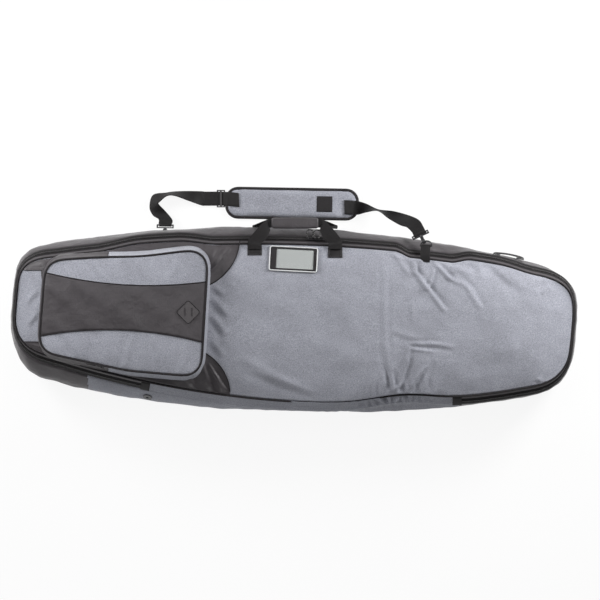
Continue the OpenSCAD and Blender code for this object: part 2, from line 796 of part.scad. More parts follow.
// The pocket's slider runs along the straight bottom edge of its zip
pocket_edge = pocket_outline[7][0] - pocket_outline[6][0];
pocket_turn = atan2(pocket_edge.y, pocket_edge.x);
pocket_slider_x = fold_x - 14;
module on_pocket_zip() {
    p = pocket_outline[6][0];
    translate(raised(p + pocket_edge * (pocket_slider_x - p.x) / pocket_edge.x, pocket_zip_z))
        rotate([0, 0, pocket_turn]) rotate([90, 0, 0]) translate([0, 0, -cloth / 2]) children();
}
module pocket_slider() {
    color(black) on_pocket_zip() slider(90);
}
module pocket_pull() {
    color("#4a4c50") on_pocket_zip() translate([0, 0, bail_z]) rotate([0, 0, 90]) cord_loop(4, 44);
}

// Shoulder strap: it swings about the line through the bars of its two rings
bar_z = 12;
left_bar = raised(at_top(ring_left_x, gusset_out(ring_left_x, bar_z) + 9), bar_z);
right_bar_d = slope_w - 2;
right_bar = raised(at_top(ring_right_x, right_bar_d), seam_z - 2);
strap_axis = unit(right_bar - left_bar);
function square_to_axis(v) = unit(v - (v * strap_axis) * strap_axis);
module framed(place, out) {
    y = square_to_axis(out);
    z = cross(strap_axis, y);
    rows = [for (i = [0:2]) [strap_axis[i], y[i], z[i], place[i]]];
    multmatrix(rows) children();
}
left_out = [0, 1, 0];
right_out = [0, cos(30), -sin(30)];
right_swing = 30;
module at_left_ring() {
    framed(left_bar, left_out) children();
}
module at_right_ring() {
    framed(right_bar, right_out) children();
}
module d_ring() {
    rotate_extrude(angle = 180) translate([ring_r, 0]) circle(r = wire_r);
    rotate([0, 90, 0]) cylinder(r = wire_r, h = 2 * ring_r, center = true);
}
module d_rings() {
    color(black) {
        at_left_ring() d_ring();
        at_right_ring() d_ring();
    }
}
// Snap hook: Y runs from the ring wire to the webbing bar, and the claw lies in the YZ plane
claw_in = 4.6;
claw_out = 8;
claw_l = 8;
hook_t = 8;
gate_t = 4;
hook_bar = 27;
bar_r = 2;
pin_r = 0.9;
knuckle_r = 1.8;
wire_seat = claw_in - wire_r - run_gap;
gate_pin = [wire_seat + claw_l + 2.6, claw_in + 1.2];
module claw_shape() {
    difference() {
        union() {
            translate([wire_seat, 0]) circle(r = claw_out);
            translate([wire_seat, -claw_out]) square([claw_l, 2 * claw_out]);
            translate([wire_seat + claw_l, 0]) circle(r = claw_out);
        }
        translate([wire_seat, 0]) circle(r = claw_in);
        translate([wire_seat, -claw_in]) square([claw_l, 2 * claw_in]);
        translate([wire_seat, 0]) square([claw_l, 2 * claw_out]);
    }
}
// The room in which the gate's knuckle turns
module gate_slot() {
    translate([wire_seat + claw_l - 1, claw_in - 4]) square([5.9, claw_out]);
}
module in_claw_plane(t) {
    rotate([0, 0, 90]) rotate([90, 0, 0]) linear_extrude(t, center = true) children();
}
module snap_hook() {
    half = webbing_w / 2 + 1.4;
    difference() {
        in_claw_plane(hook_t) claw_shape();
        in_claw_plane(gate_t + 2 * run_gap) gate_slot();
    }
    translate([0, gate_pin.x, gate_pin.y]) rotate([0, 90, 0]) cylinder(r = pin_r, h = hook_t, center = true);
    translate([0, wire_seat + claw_l + claw_out - 1.5, 0]) rotate([-90, 0, 0]) cylinder(r = 3.2, h = 5);
    translate([-half - 3, hook_bar - 8.5, -2]) cube([2 * half + 6, 3, 4]);
    for (side = [-1, 1])
        translate([side * (half + 1.5) - 1.5, hook_bar - 6, -2]) cube([3, 6, 4]);
    translate([0, hook_bar, 0]) rotate([0, 90, 0]) cylinder(r = bar_r, h = 2 * half + 6, center = true);
}
module at_left_hook() {
    at_left_ring() translate([0, ring_r, 0]) children();
}
module at_right_hook() {
    at_right_ring() rotate([0, 0, right_swing]) translate([0, ring_r, 0]) children();
}
module snap_hooks() {
    color(black) {
        at_left_hook() snap_hook();
        at_right_hook() snap_hook();
    }
}
// The gate closes the claw's open side and turns inwards on its pin
module gate() {
    tip = wire_seat + 0.5;
    in_claw_plane(gate_t) difference() {
        union() {
            translate([tip, gate_pin.y - 1.1]) square([gate_pin.x - tip, 2.2]);
            translate(gate_pin) circle(r = knuckle_r);
        }
        translate(gate_pin) circle(r = pin_r + 0.06);
    }
}
module left_gate() {
    color("#505358") at_left_hook() gate();
}
module right_gate() {
    color("#505358") at_right_hook() gate();
}

// Ring tabs: the left one loops round its bar, the right one hooks over its bar so that the lid can lift off
loop_in = wire_r + 0.5;
module left_ring_tab() {
    color(black) difference() {
        at_left_ring() in_claw_plane(tab_w) difference() {
            union() {
                circle(r = loop_in + webbing_t);
                translate([-40, -webbing_t]) square([40, 2 * webbing_t]);
            }
            circle(r = loop_in);
        }
        gusset_core(gap);
    }
}
module right_ring_tab() {
    over_piping = piping_r + 6.5;
    color(black) difference() {
        framed(right_bar, [0, 1, 0]) in_claw_plane(tab_w) {
            intersection() {
                difference() {
                    circle(r = loop_in + webbing_t);
                    circle(r = loop_in);
                }
                square(4 * wire_r + webbing_t);
            }
            translate([loop_in, -3]) square([webbing_t, 3.1]);
            polygon([
                [0.1, loop_in], [0.1, loop_in + webbing_t], [-right_bar_d + 2, over_piping + webbing_t],
                [-right_bar_d - 20, over_piping + webbing_t], [-right_bar_d - 20, over_piping - 4],
                [-right_bar_d - 4, over_piping - 1], [-right_bar_d + 2, over_piping]
            ]);
        }
        dome(gap);
        front_piping();
    }
}

// Strap webbing: stations hang from the hook bars and lie on the floor by the pad
half_web = webbing_w / 2;
web_seat = bar_r + 0.3;
left_way = square_to_axis(left_out);
right_y = square_to_axis(right_out);
right_way = cos(right_swing) * right_y - sin(right_swing) * strap_axis;
right_across = cos(right_swing) * strap_axis + sin(right_swing) * right_y;
hook_reach = ring_r + hook_bar + web_seat + webbing_t / 2;
straight_web = 12;
web_z = 6;
web_left_y = top_y + 126;
web_right_y = top_y + 101;
left_stations = [
    [left_bar + hook_reach * left_way, strap_axis * half_web],
    [left_bar + (hook_reach + straight_web) * left_way, strap_axis * half_web],
    [[-352, top_y + 84, 9], [0.97, 0.2, 0.1] * half_web],
    [[-366, top_y + 108, 12], [0.75, 0.45, 0.4] * half_web],
    [[-360, top_y + 126, 20], [0.1, 0, 1] * half_web],
    [[-326, top_y + 131, 18], [0, -0.5, 0.85] * half_web],
    [[-286, top_y + 128, 10], [0, -0.92, 0.38] * half_web],
    [[-252, web_left_y, web_z], [0, -half_web, 0]],
    [[-240, web_left_y, web_z], [0, -half_web, 0]],
    [[-pad_l / 2 + 10, web_left_y, web_z], [0, -half_web, 0]]
];
right_stations = [
    [[pad_l / 2 - 20, web_right_y, web_z], [0, -half_web, 0]],
    [[190, top_y + 99, 7], [0, -half_web, 0]],
    [[216, top_y + 95, 14], [0, -0.85, -0.5] * half_web],
    [[238, top_y + 86, 28], [0, -0.4, -0.9] * half_web],
    [[285, top_y + 55, 95], [-0.9, -0.4, 0] * half_web],
    [[308, top_y + 47, 130], [-0.91, -0.41, 0.02] * half_web],
    [right_bar + (hook_reach + straight_web) * right_way, -right_across * (half_web - 2)],
    [right_bar + (hook_reach + straight_web / 2) * right_way, -right_across * (half_web - 2)],
    [right_bar + hook_reach * right_way, -right_across * (half_web - 2)]
];
module hook_loop() {
    translate([0, hook_bar, 0]) in_claw_plane(webbing_w) difference() {
        circle(r = web_seat + webbing_t);
        circle(r = web_seat);
    }
}
pad_tilt = -1;
pad_at = [-8, seam_top(0) + pad_reach, 0];
pad_outline = rounded(box_corners(pad_l, pad_w), 30, 6);
binding_t = 1.7;
module at_pad() {
    translate(pad_at) rotate([0, 0, pad_tilt]) children();
}
module pad_block() {
    at_pad() translate([0, 0, -1]) linear_extrude(pad_t + 2)
        polygon(flat_spread(pad_outline, binding_t + gap));
}
module strap_left() {
    color(black) union() {
        at_left_hook() hook_loop();
        difference() {
            strip(squared(eased(left_stations, 4)), webbing_t);
            pad_block();
        }
    }
}
module strap_right() {
    color(black) union() {
        at_right_hook() hook_loop();
        difference() {
            strip(squared(eased(right_stations, 4)), webbing_t);
            pad_block();
        }
    }
}
module shoulder_pad() {
    color(grey) at_pad() loft([
        spread(pad_outline, -3, gap), spread(pad_outline, -gap, 3), spread(pad_outline, -gap, pad_t - 5),
        spread(pad_outline, -5, pad_t - 2), spread(pad_outline, -16, pad_t)
    ]);
}
module pad_binding() {
    color(black) at_pad() loft([
        spread(pad_outline, binding_t, 2), spread(pad_outline, binding_t, pad_t - 4),
        spread(pad_outline, 0, pad_t - 4), spread(pad_outline, 0, 2)
    ], true);
}
// Tri-glide on the flat stretch of webbing beside the pad
glide_x = -pad_l / 2 - 24;
module tri_glide() {
    rail = half_web + 1.4;
    low = web_z - webbing_t / 2 - run_gap;
    high = web_z + webbing_t / 2 + run_gap;
    color(black) translate([glide_x, web_left_y, 0]) {
        for (side = [-1, 1])
            translate([-11, side * (rail + 1.5) - 1.5, low - 2.4]) cube([22, 3, high - low + 4.8]);
        translate([-2.5, -rail - 1, high]) cube([5, 2 * rail + 2, 2.4]);
        for (side = [-1, 1])
            translate([side * 9.25 - 1.75, -rail - 1, low - 2.4]) cube([3.5, 2 * rail + 2, 2.4]);
    }
}

back_panel();
back_foam();
back_lining();
back_piping();
base_gusset();
hinge_gusset();
gusset_foam();
gusset_lining();
base_zip_tape();
base_zip_chain();
zip_end_tabs();
drain_grommet();
back_handle();
grab_handle();
grab_handle_tabs();
left_ring_tab();
front_panel();
upper_yoke();
lower_yoke();
end_panel();
front_foam();
front_lining();
front_piping();
lid_band();
lid_zip_tape();
lid_zip_chain();
handle_patches();
card_frame();
card_window();
card();
right_ring_tab();
carry_handle();
grip_wrap();
left_slider();
right_slider();
left_zip_pull();
right_zip_pull();
pocket_gusset();
pocket_zip_gusset();
pocket_upper_panel();
pocket_band();
pocket_lower_panel();
pocket_piping();
lash_tab();
flap_gusset();
flap_upper_panel();
flap_band();
flap_lower_panel();
flap_piping();
pocket_slider();
pocket_pull();
strap_left();
strap_right();
shoulder_pad();
pad_binding();
tri_glide();
d_rings();
snap_hooks();
left_gate();
right_gate();
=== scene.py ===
"""Looks of a padded board bag: cloth, webbing, zips and a boot pocket, dressed over its CAD frame."""

import math
from bisect import bisect

import bmesh
import bpy
from mathutils import Matrix, Vector, geometry, noise
from mathutils.bvhtree import BVHTree


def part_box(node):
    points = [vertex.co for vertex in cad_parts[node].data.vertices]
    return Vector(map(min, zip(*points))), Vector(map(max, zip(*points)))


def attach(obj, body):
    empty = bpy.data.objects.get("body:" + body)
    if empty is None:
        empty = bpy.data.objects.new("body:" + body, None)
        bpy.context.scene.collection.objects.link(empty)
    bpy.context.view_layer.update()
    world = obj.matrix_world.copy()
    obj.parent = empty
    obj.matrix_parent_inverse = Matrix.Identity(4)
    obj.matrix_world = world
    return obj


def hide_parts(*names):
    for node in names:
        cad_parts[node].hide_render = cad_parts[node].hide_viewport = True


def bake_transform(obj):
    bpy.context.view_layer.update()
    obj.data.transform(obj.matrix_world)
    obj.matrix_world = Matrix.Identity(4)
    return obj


bl_info = {
    "name": "Board Bag",
    "version": (1, 0, 0),
    "blender": (4, 5, 0),
    "location": "View3D > Sidebar > Bag",
    "description": "Dresses the frame of a padded board bag in cloth, webbing and zips",
    "category": "Object",
}

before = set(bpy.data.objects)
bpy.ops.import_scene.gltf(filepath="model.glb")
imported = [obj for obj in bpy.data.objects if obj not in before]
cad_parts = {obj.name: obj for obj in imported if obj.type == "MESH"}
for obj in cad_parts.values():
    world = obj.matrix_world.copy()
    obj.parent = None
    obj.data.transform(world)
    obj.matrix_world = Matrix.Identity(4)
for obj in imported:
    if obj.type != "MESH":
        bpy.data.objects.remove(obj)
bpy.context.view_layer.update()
MM = 0.001
UP = Vector((0, 0, 1))
# Length and width of the large panels' mesh, for their flat maps
PANEL = (1.45, 0.42)
# Points along the bound seams of the lid and the back
SEAM_POINTS = 720
LID_NODES = ("front_panel", "upper_yoke", "lower_yoke", "end_panel")
FACE_NODES = (
    "pocket_upper_panel", "pocket_band", "pocket_lower_panel",
    "flap_upper_panel", "flap_band", "flap_lower_panel",
)


def linear(code):
    """A colour written as an sRGB hex value, as linear RGBA."""
    parts = [int(code[i:i + 2], 16) / 255 for i in (1, 3, 5)]
    return [c / 12.92 if c <= 0.04045 else ((c + 0.055) / 1.055) ** 2.4 for c in parts] + [1.0]


def length(name, default, text):
    """A length to set in the panel."""
    return bpy.props.FloatProperty(name=name, description=text, default=default, unit="LENGTH", precision=4)


def colour(name, code, text):
    """A colour to set in the panel."""
    return bpy.props.FloatVectorProperty(
        name=name, description=text, default=linear(code), size=4, min=0, max=1, subtype="COLOR"
    )


class BagSizes(bpy.types.PropertyGroup):
    """Sizes of the cloth work."""

    cell: length("Cloth cell", 4 * MM, "Spacing of the mesh in the large panels")
    cloth: length("Cloth thickness", 1.6 * MM, "Thickness of the outer cloth")
    webbing: length("Webbing thickness", 2 * MM, "Thickness of the straps")
    tooth: length("Zip tooth pitch", 3.2 * MM, "Spacing of the zip teeth, drawn a little coarse so that they show")
    stitch: length("Stitch length", 4 * MM, "Length of one stitch")
    slack: bpy.props.FloatProperty(
        name="Slack", description="Strength of the creases in the cloth", default=1.0, min=0, max=2, subtype="FACTOR"
    )
    seam_pull: length("Seam pull", 14 * MM, "How far the strap's ring draws in the front seam")
    gather: length("Gather", 19 * MM, "How far the gathered lower seam is drawn up")


class BagColours(bpy.types.PropertyGroup):
    """Colours of the materials."""

    heather_light: colour("Heather, light yarn", "#a2a4ad", "Light yarn of the grey cloth")
    heather_dark: colour("Heather, dark yarn", "#74757e", "Dark yarn of the grey cloth")
    ripstop: colour("Charcoal cloth", "#3c383b", "Plain dark cloth of the gusset and yokes")
    webbing: colour("Webbing", "#161415", "Straps and tabs")
    piping: colour("Piping", "#1d1a1c", "Bound seams")
    lining: colour("Lining", "#55565b", "Cloth inside the bag")
    border: colour("Card border", "#c9cacb", "Piping round the card window")
    metal: colour("Rings and sliders", "#2c2b2d", "Painted zinc")
    floor: colour("Floor", "#f4f4f4", "Studio floor")


def sizes():
    """The sizes set in the panel."""
    return bpy.context.scene.bag_sizes


def colours():
    """The colours set in the panel."""
    return bpy.context.scene.bag_colours


# Materials


def add(tree, kind, inputs=None, links=None, **settings):
    """A shader node with its settings, its fixed inputs and its links."""
    node = tree.nodes.new("ShaderNode" + kind)
    for name, value in settings.items():
        setattr(node, name, value)
    for name, value in (inputs or {}).items():
        node.inputs[name].default_value = value
    for name, socket in (links or {}).items():
        tree.links.new(socket, node.inputs[name])
    return node


def blank(name, roughness, **constants):
    """A new Principled material with its tree and shader, or the finished one of that name and None twice."""
    found = bpy.data.materials.get(name)
    if found:
        return found, None, None
    material = bpy.data.materials.new(name)
    material.use_nodes = True
    tree = material.node_tree
    shader = tree.nodes["Principled BSDF"]
    shader.inputs["Roughness"].default_value = roughness
    for socket, value in constants.items():
        shader.inputs[socket.replace("_", " ")].default_value = value
    return material, tree, shader


def dress(tree, shader, **sockets):
    """Links sockets to the shader inputs of those names."""
    for name, socket in sockets.items():
        tree.links.new(socket, shader.inputs[name.replace("_", " ")])


def placed(tree, coords="Object"):
    """The coordinates of a texture."""
    return add(tree, "TexCoord").outputs[coords]


def speckle(tree, place, spacing, **more):
    """Noise with features of that spacing."""
    return add(tree, "TexNoise", {"Scale": 1 / spacing, **more}, {"Vector": place}).outputs["Fac"]


def ribs(tree, place, period, way, **more):
    """Ribs that repeat at that spacing along X, Y or Z. At scale 1 a wave texture repeats every pi / 10."""
    inputs = {"Scale": math.tau / 20 / period, **more}
    return add(tree, "TexWave", inputs, {"Vector": place}, bands_direction=way).outputs["Fac"]


def joined(tree, operation, first, second):
    """A maths node on two sockets, or on a socket and a number."""
    number = isinstance(second, float)
    links = {0: first} if number else {0: first, 1: second}
    return add(tree, "Math", {1: second} if number else {}, links, operation=operation).outputs["Value"]


def spread(tree, factor, low, high):
    """The middle of a noise spread over a range."""
    inputs = {"From Min": 0.3, "From Max": 0.7, "To Min": low, "To Max": high}
    return add(tree, "MapRange", inputs, {"Value": factor}).outputs["Result"]


def two_tone(tree, factor, dark, light, low=0.0, high=1.0):
    """A ramp from one colour to another."""
    ramp = add(tree, "ValToRGB", links={"Fac": factor})
    for stop, position, tone in zip(ramp.color_ramp.elements, (low, high), (dark, light)):
        stop.position = position
        stop.color = tone
    return ramp.outputs["Color"]


def shaded(tone, share):
    """A colour times a share of its light."""
    return [min(1, c * share) for c in tone[:3]] + [1]


def bumped(tree, height, strength, depth, under=None):
    """The normal of a bump, over another bump's normal where there is one."""
    links = {"Height": height}
    if under is not None:
        links["Normal"] = under
    return add(tree, "Bump", {"Strength": strength, "Distance": depth}, links).outputs["Normal"]


def rumpled(tree, place, period, depth):
    """The small unevenness of slack cloth, as the normal of a bump of that spacing and depth."""
    return bumped(tree, speckle(tree, place, period, Detail=2, Distortion=0.3), 0.5, depth)


def heather_polyester():
    """Two-tone yarns in a plain weave: a soft matt grey with a salt-and-pepper fleck, drawn at 2 mm to show."""
    material, tree, shader = blank("heather polyester", 0.82, Sheen_Weight=0.12, Sheen_Roughness=0.5)
    if tree is None:
        return material
    place = placed(tree)
    fleck = speckle(tree, place, 2 * MM, Detail=4, Roughness=0.75)
    tone = two_tone(tree, fleck, colours().heather_dark, colours().heather_light, 0.38, 0.62)
    shade = spread(tree, speckle(tree, place, 70 * MM, Detail=3), 0.9, 1.06)
    mixed = add(tree, "VectorMath", links={0: tone, 1: shade}, operation="MULTIPLY")
    warp, weft = (ribs(tree, place, 1.8 * MM, way, Distortion=1.2, Detail=2) for way in "XY")
    yarn = joined(tree, "ADD", joined(tree, "ADD", warp, weft), fleck)
    bump = bumped(tree, yarn, 0.35, 0.5 * MM, rumpled(tree, place, 34 * MM, 3 * MM))
    dress(tree, shader, Base_Color=mixed.outputs["Vector"], Normal=bump)
    return material


def ripstop_polyester():
    """Coated plain-weave polyester with a ripstop grid: smooth and dark, with a dull sheen on its folds."""
    material, tree, shader = blank("ripstop polyester", 0.5, Sheen_Weight=0.12, Specular_IOR_Level=0.45)
    if tree is None:
        return material
    place, base = placed(tree), colours().ripstop
    patch = speckle(tree, place, 28 * MM, Detail=5, Roughness=0.6)
    tone = two_tone(tree, patch, shaded(base, 0.8), shaded(base, 1.15), 0.25, 0.75)
    x, y, z = (ribs(tree, place, 5 * MM, way, Distortion=0.3) for way in "XYZ")
    net = joined(tree, "MAXIMUM", joined(tree, "MAXIMUM", x, y), z)
    bump = bumped(tree, joined(tree, "POWER", net, 8.0), 0.18, 0.4 * MM, rumpled(tree, place, 26 * MM, 5 * MM))
    dress(tree, shader, Base_Color=tone, Roughness=spread(tree, patch, 0.42, 0.58), Normal=bump)
    return material


def woven_strip(name, base, rib, roughness, coords="Object"):
    """A ribbed woven band: matt, with ribs across it and a fine grain along it."""
    material, tree, shader = blank(name, roughness, Specular_IOR_Level=0.25)
    if tree is None:
        return material
    place = placed(tree, coords)
    grain = speckle(tree, place, 1.4 * MM, Detail=3)
    height = joined(tree, "ADD", ribs(tree, place, rib, "X", Distortion=0.6, Detail=1), grain)
    tone = two_tone(tree, grain, shaded(base, 0.75), shaded(base, 1.3), 0.3, 0.7)
    dress(tree, shader, Base_Color=tone, Normal=bumped(tree, height, 0.5, 0.5 * MM))
    return material


def nylon_webbing():
    """Flat woven nylon: black and matt, with cross ribs that follow the strap."""
    return woven_strip("nylon webbing", colours().webbing, 2.4 * MM, 0.6, "UV")


def sewn_webbing():
    """The same webbing as short sewn tabs."""
    return woven_strip("sewn nylon webbing", colours().webbing, 2.4 * MM, 0.6)


def binding_tape():
    """Grosgrain tape folded over a cord: black, with close ribs."""
    return woven_strip("grosgrain binding", colours().piping, 1.8 * MM, 0.62)


def pale_binding():
    """Pale reflective tape round the card window."""
    return woven_strip("pale binding", colours().border, 1.8 * MM, 0.5)


def lining_taffeta():
    """Thin taffeta lining: plain, even and slightly shiny."""
    return woven_strip("taffeta lining", colours().lining, 2 * MM, 0.5)


def grained(name, roughness, spacing, detail, dark, light, bump=None, **constants):
    """A finish with a fine two-tone grain, and a bump of [strength, depth] where one is given."""
    material, tree, shader = blank(name, roughness, **constants)
    if tree is None:
        return material
    grain = speckle(tree, placed(tree), spacing, Detail=detail)
    dress(tree, shader, Base_Color=two_tone(tree, grain, dark, light))
    if bump:
        dress(tree, shader, Normal=bumped(tree, grain, *bump))
    return material


def coil_nylon():
    """Moulded nylon zip teeth: near black, smooth and a little glossy."""
    return grained("nylon zip coil", 0.38, 9 * MM, 3, linear("#1b191a"), linear("#3a3738"))


def painted_zinc():
    """Die-cast zinc under black paint: a soft gloss with fine orange peel."""
    dark, light = (shaded(colours().metal, share) for share in (0.8, 1.3))
    return grained("painted zinc", 0.34, 1.5 * MM, 4, dark, light, (0.1, 0.2 * MM), Coat_Weight=0.2)


def acetal():
    """Moulded acetal buckles: black, waxy, with a fine eroded texture."""
    return grained("moulded acetal", 0.42, 0.8 * MM, 3, linear("#232123"), linear("#363436"), (0.15, 0.2 * MM))


def moulded_rubber():
    """Moulded rubber: dark and dull with a slight bloom."""
    return grained("moulded rubber", 0.6, 6 * MM, 5, linear("#3a3739"), linear("#4d494b"), (0.2, 0.3 * MM))


def plain_card():
    """Uncoated card: flat and grey, with a faint fibre."""
    return grained("plain card", 0.85, 2 * MM, 4, linear("#5f6260"), linear("#6c6f6d"))


def sewing_thread():
    """Bonded polyester thread: dark grey and slightly shiny."""
    return grained("sewing thread", 0.5, 1.2 * MM, 2, linear("#2f2d30"), linear("#4a484b"))


def clear_vinyl():
    """Pressed clear vinyl: greyish, glossy and slightly wavy."""
    material, tree, shader = blank("clear vinyl", 0.22, Alpha=0.3, Base_Color=linear("#d6dad9"))
    if tree is not None:
        wave = speckle(tree, placed(tree), 25 * MM, Detail=2)
        dress(tree, shader, Normal=bumped(tree, wave, 0.3, 1.5 * MM))
    return material


def braided_cord():
    """Braided cord: dark with pale flecks of the second yarn, drawn at 2 mm to show."""
    material, tree, shader = blank("braided cord", 0.7)
    if tree is not None:
        braid = add(tree, "TexVoronoi", {"Scale": 1 / (2.2 * MM)}, {"Vector": placed(tree)})
        tone = two_tone(tree, braid.outputs["Color"], linear("#1a191a"), linear("#8b8989"), 0.6, 0.8)
        dress(tree, shader, Base_Color=tone, Normal=bumped(tree, braid.outputs["Distance"], 0.5, 0.5 * MM))
    return material


# Lines and surfaces taken from the frame


def node_mesh(name):
    """The mesh of a CAD node."""
    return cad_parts[name].data


def surface(*meshes):
    """One searchable surface from several meshes."""
    points, faces = [], []
    for mesh in meshes:
        first = len(points)
        points += [v.co.copy() for v in mesh.vertices]
        faces += [[first + i for i in face.vertices] for face in mesh.polygons]
    return BVHTree.FromPolygons(points, faces)


def height_on(tree, x, y):
    """Height of the top of a surface at a place seen from above."""
    hit = tree.ray_cast(Vector((x, y, 1)), -UP)[0]
    return hit.z if hit else tree.find_nearest(Vector((x, y, 0.2)))[0].z


def on_top(tree, x, y, lift=0.0):
    """The point on the top of a surface at a place, lifted a little."""
    return Vector((x, y, height_on(tree, x, y) + lift))


def even(points, step, closed):
    """Points at equal steps along the line through the given points."""
    line = points + points[:1] if closed else points
    run = [0.0]
    for a, b in zip(line, line[1:]):
        run.append(run[-1] + (b - a).length)
    count = max(2, round(run[-1] / step))
    result, i = [], 0
    for k in range(count if closed else count + 1):
        s = run[-1] * k / count
        while i < len(line) - 2 and run[i + 1] < s:
            i += 1
        span = run[i + 1] - run[i]
        result.append(line[i].lerp(line[i + 1], (s - run[i]) / span if span else 0))
    return result


def ease(t):
    """A smooth step from 0 to 1."""
    t = min(1, max(0, t))
    return t * t * (3 - 2 * t)


def bell(x, middle, wide):
    """A smooth hump of height 1."""
    return math.exp(-(((x - middle) / wide) ** 2))


def plateau(x, first, rise, last, fall):
    """A smooth step up after first and down before last."""
    return ease((x - first) / rise) * ease((last - x) / fall)


class Rim:
    """A closed outline seen from above, anticlockwise, taken from the hull of CAD nodes."""

    def __init__(self, *nodes, shift=None):
        flat = [v.co.xy for n in nodes for v in node_mesh(n).vertices]
        hull = [flat[i] for i in geometry.convex_hull_2d(flat)]
        if sum(a.cross(b) for a, b in zip(hull, hull[1:] + hull[:1])) < 0:
            hull.reverse()
        points = even(hull, 4 * MM, True)
        for _ in range(24):
            before, after = points[-1:] + points[:-1], points[1:] + points[:1]
            points = [(a + 2 * b + c) / 4 for a, b, c in zip(before, points, after)]
        self.points = [shift(p) for p in points] if shift else points
        self.count = len(self.points)
        self.edges = list(zip(self.points, self.points[1:] + self.points[:1]))
        self.length = sum((b - a).length for a, b in self.edges)

    def at(self, s):
        """The point s metres along the rim, and its outward normal."""
        f = s / self.length % 1 * self.count
        i = int(f) % self.count
        p = self.points[i].lerp(self.points[(i + 1) % self.count], f - int(f))
        way = self.points[(i + 2) % self.count] - self.points[i - 1]
        return p, Vector((way.y, -way.x)).normalized()

    def along(self, x, upper):
        """Where along the rim its upper or lower side passes x."""
        best = min(
            (i for i in range(self.count) if (self.at(i * self.length / self.count)[1].y > 0) == upper),
            key=lambda i: abs(self.points[i].x - x),
        )
        return best * self.length / self.count

    def column(self, u, lean_left, lean_right):
        """Lower and upper ends of a line across the rim: u runs from the left end, and the lines lean with the ends."""
        lean = lean_left + u * (lean_right - lean_left)
        first = min(p.x - lean_left * p.y for p in self.points) + 0.4 * MM
        last = max(p.x - lean_right * p.y for p in self.points) - 0.4 * MM
        base = first + u * (last - first)
        cuts = []
        for a, b in self.edges:
            fa, fb = a.x - lean * a.y - base, b.x - lean * b.y - base
            if (fa < 0) != (fb < 0):
                cuts.append(a.lerp(b, fa / (fa - fb)))
        return min(cuts, key=lambda p: p.y), max(cuts, key=lambda p: p.y)

    def cut(self, at, axis=0):
        """The two sides of the rim on the line at x, or at y with axis 1."""
        other = 1 - axis
        cuts = [
            a[other] + (b[other] - a[other]) * (at - a[axis]) / (b[axis] - a[axis])
            for a, b in self.edges if (a[axis] < at) != (b[axis] < at)
        ]
        return min(cuts), max(cuts)

    def beside(self, count, out, height):
        """Points at equal steps round the rim, at a distance outside it and a height for each place."""
        spots = [self.at(k * self.length / count) for k in range(count)]
        return [Vector((p.x + n.x * out, p.y + n.y * out, height(p))) for p, n in spots]


# Where the front seam departs from its even outline, along the bag: middle and half width, or start, rise, end and fall
GATHERS = (0.285, 0.11)
RING_DIP = (0.262, 0.045, 0.468, 0.06)
CORNER_DIP = (0.628, 0.058)
ABOVE_POCKET = (-0.53, 0.13, -0.2, 0.11)
SQUARE_CORNER = ((0.725, 0.055), (0.068, 0.055))


def drawn_in(p):
    """How far the front seam moves across the bag: in at the strap's ring, the top corner and the gathers, and out
    above the pocket."""
    if p.y < 0:
        return sizes().gather * bell(p.x, *GATHERS)
    dips = plateau(p.x, *RING_DIP) + 0.8 * bell(p.x, *CORNER_DIP)
    return sizes().seam_pull * (0.9 * plateau(p.x, *ABOVE_POCKET) - dips)


def stood_out(p):
    """How far the two ends and the square top right corner stand out beyond the drawn outline."""
    end = (6 if p.x > 0 else -8) * ease((abs(p.x) - 0.6) / 0.12)
    corner = bell(p.x, *SQUARE_CORNER[0]) * bell(p.y, *SQUARE_CORNER[1])
    return Vector((end + 7 * corner, 6 * corner)) * MM


def pulled(p):
    """Where a place on the drawn outline ends up on the seam."""
    return p + stood_out(p) + Vector((0, drawn_in(p)))


def followed(p, z):
    """How the side wall follows the seam at a height: wholly at the rim, and less below its belly."""
    near = drawn_in(p) * ease((z - (0.12 if p.y > 0 else 0.1)) / 0.045)
    return (stood_out(p) * ease(z / 0.05)).to_3d() + Vector((0, near, 0))


def narrowed(n):
    """Share of the sloping edge's width at a place: it stands steeper at the two ends."""
    return 1 - 0.5 * n.x * n.x


# Mesh work


def linked(name, data):
    """A new object in the scene."""
    made = bpy.data.objects.new(name, data)
    bpy.context.scene.collection.objects.link(made)
    return made


def piece(name, bm, *materials):
    """A new smooth object from a bmesh."""
    mesh = bpy.data.meshes.new(name)
    bm.to_mesh(mesh)
    bm.free()
    for material in materials:
        mesh.materials.append(material)
    mesh.shade_smooth()
    return linked(name, mesh)


def grid(across, up, place, size=(1, 1), closed=False):
    """A grid laid by a function of two shares, with its flat size kept as a UV map."""
    bm = bmesh.new()
    bmesh.ops.create_grid(bm, x_segments=across, y_segments=up, size=1)
    spots = {v: ((v.co.x + 1) / 2, (v.co.y + 1) / 2) for v in bm.verts}
    layer = bm.loops.layers.uv.new("UVMap")
    for face in bm.faces:
        for corner in face.loops:
            u, w = spots[corner.vert]
            corner[layer].uv = (u * size[0], w * size[1])
    for v, (u, w) in spots.items():
        v.co = place(u, w)
    if closed:
        bmesh.ops.remove_doubles(bm, verts=bm.verts, dist=0.1 * MM)
    return bm


def relax(bm, turns, level_only=True):
    """Smooths the inside of a sheet and leaves its edge."""
    inner = [v for v in bm.verts if not v.is_boundary]
    for _ in range(turns):
        bmesh.ops.smooth_vert(
            bm, verts=inner, factor=0.5, use_axis_x=not level_only, use_axis_y=not level_only, use_axis_z=True
        )


def thicken(made, thickness, offset=-1.0):
    """Gives a sheet its thickness, below its face or about its middle with offset 0."""
    solid = made.modifiers.new("Thickness", "SOLIDIFY")
    solid.thickness = thickness
    solid.offset = offset
    return made


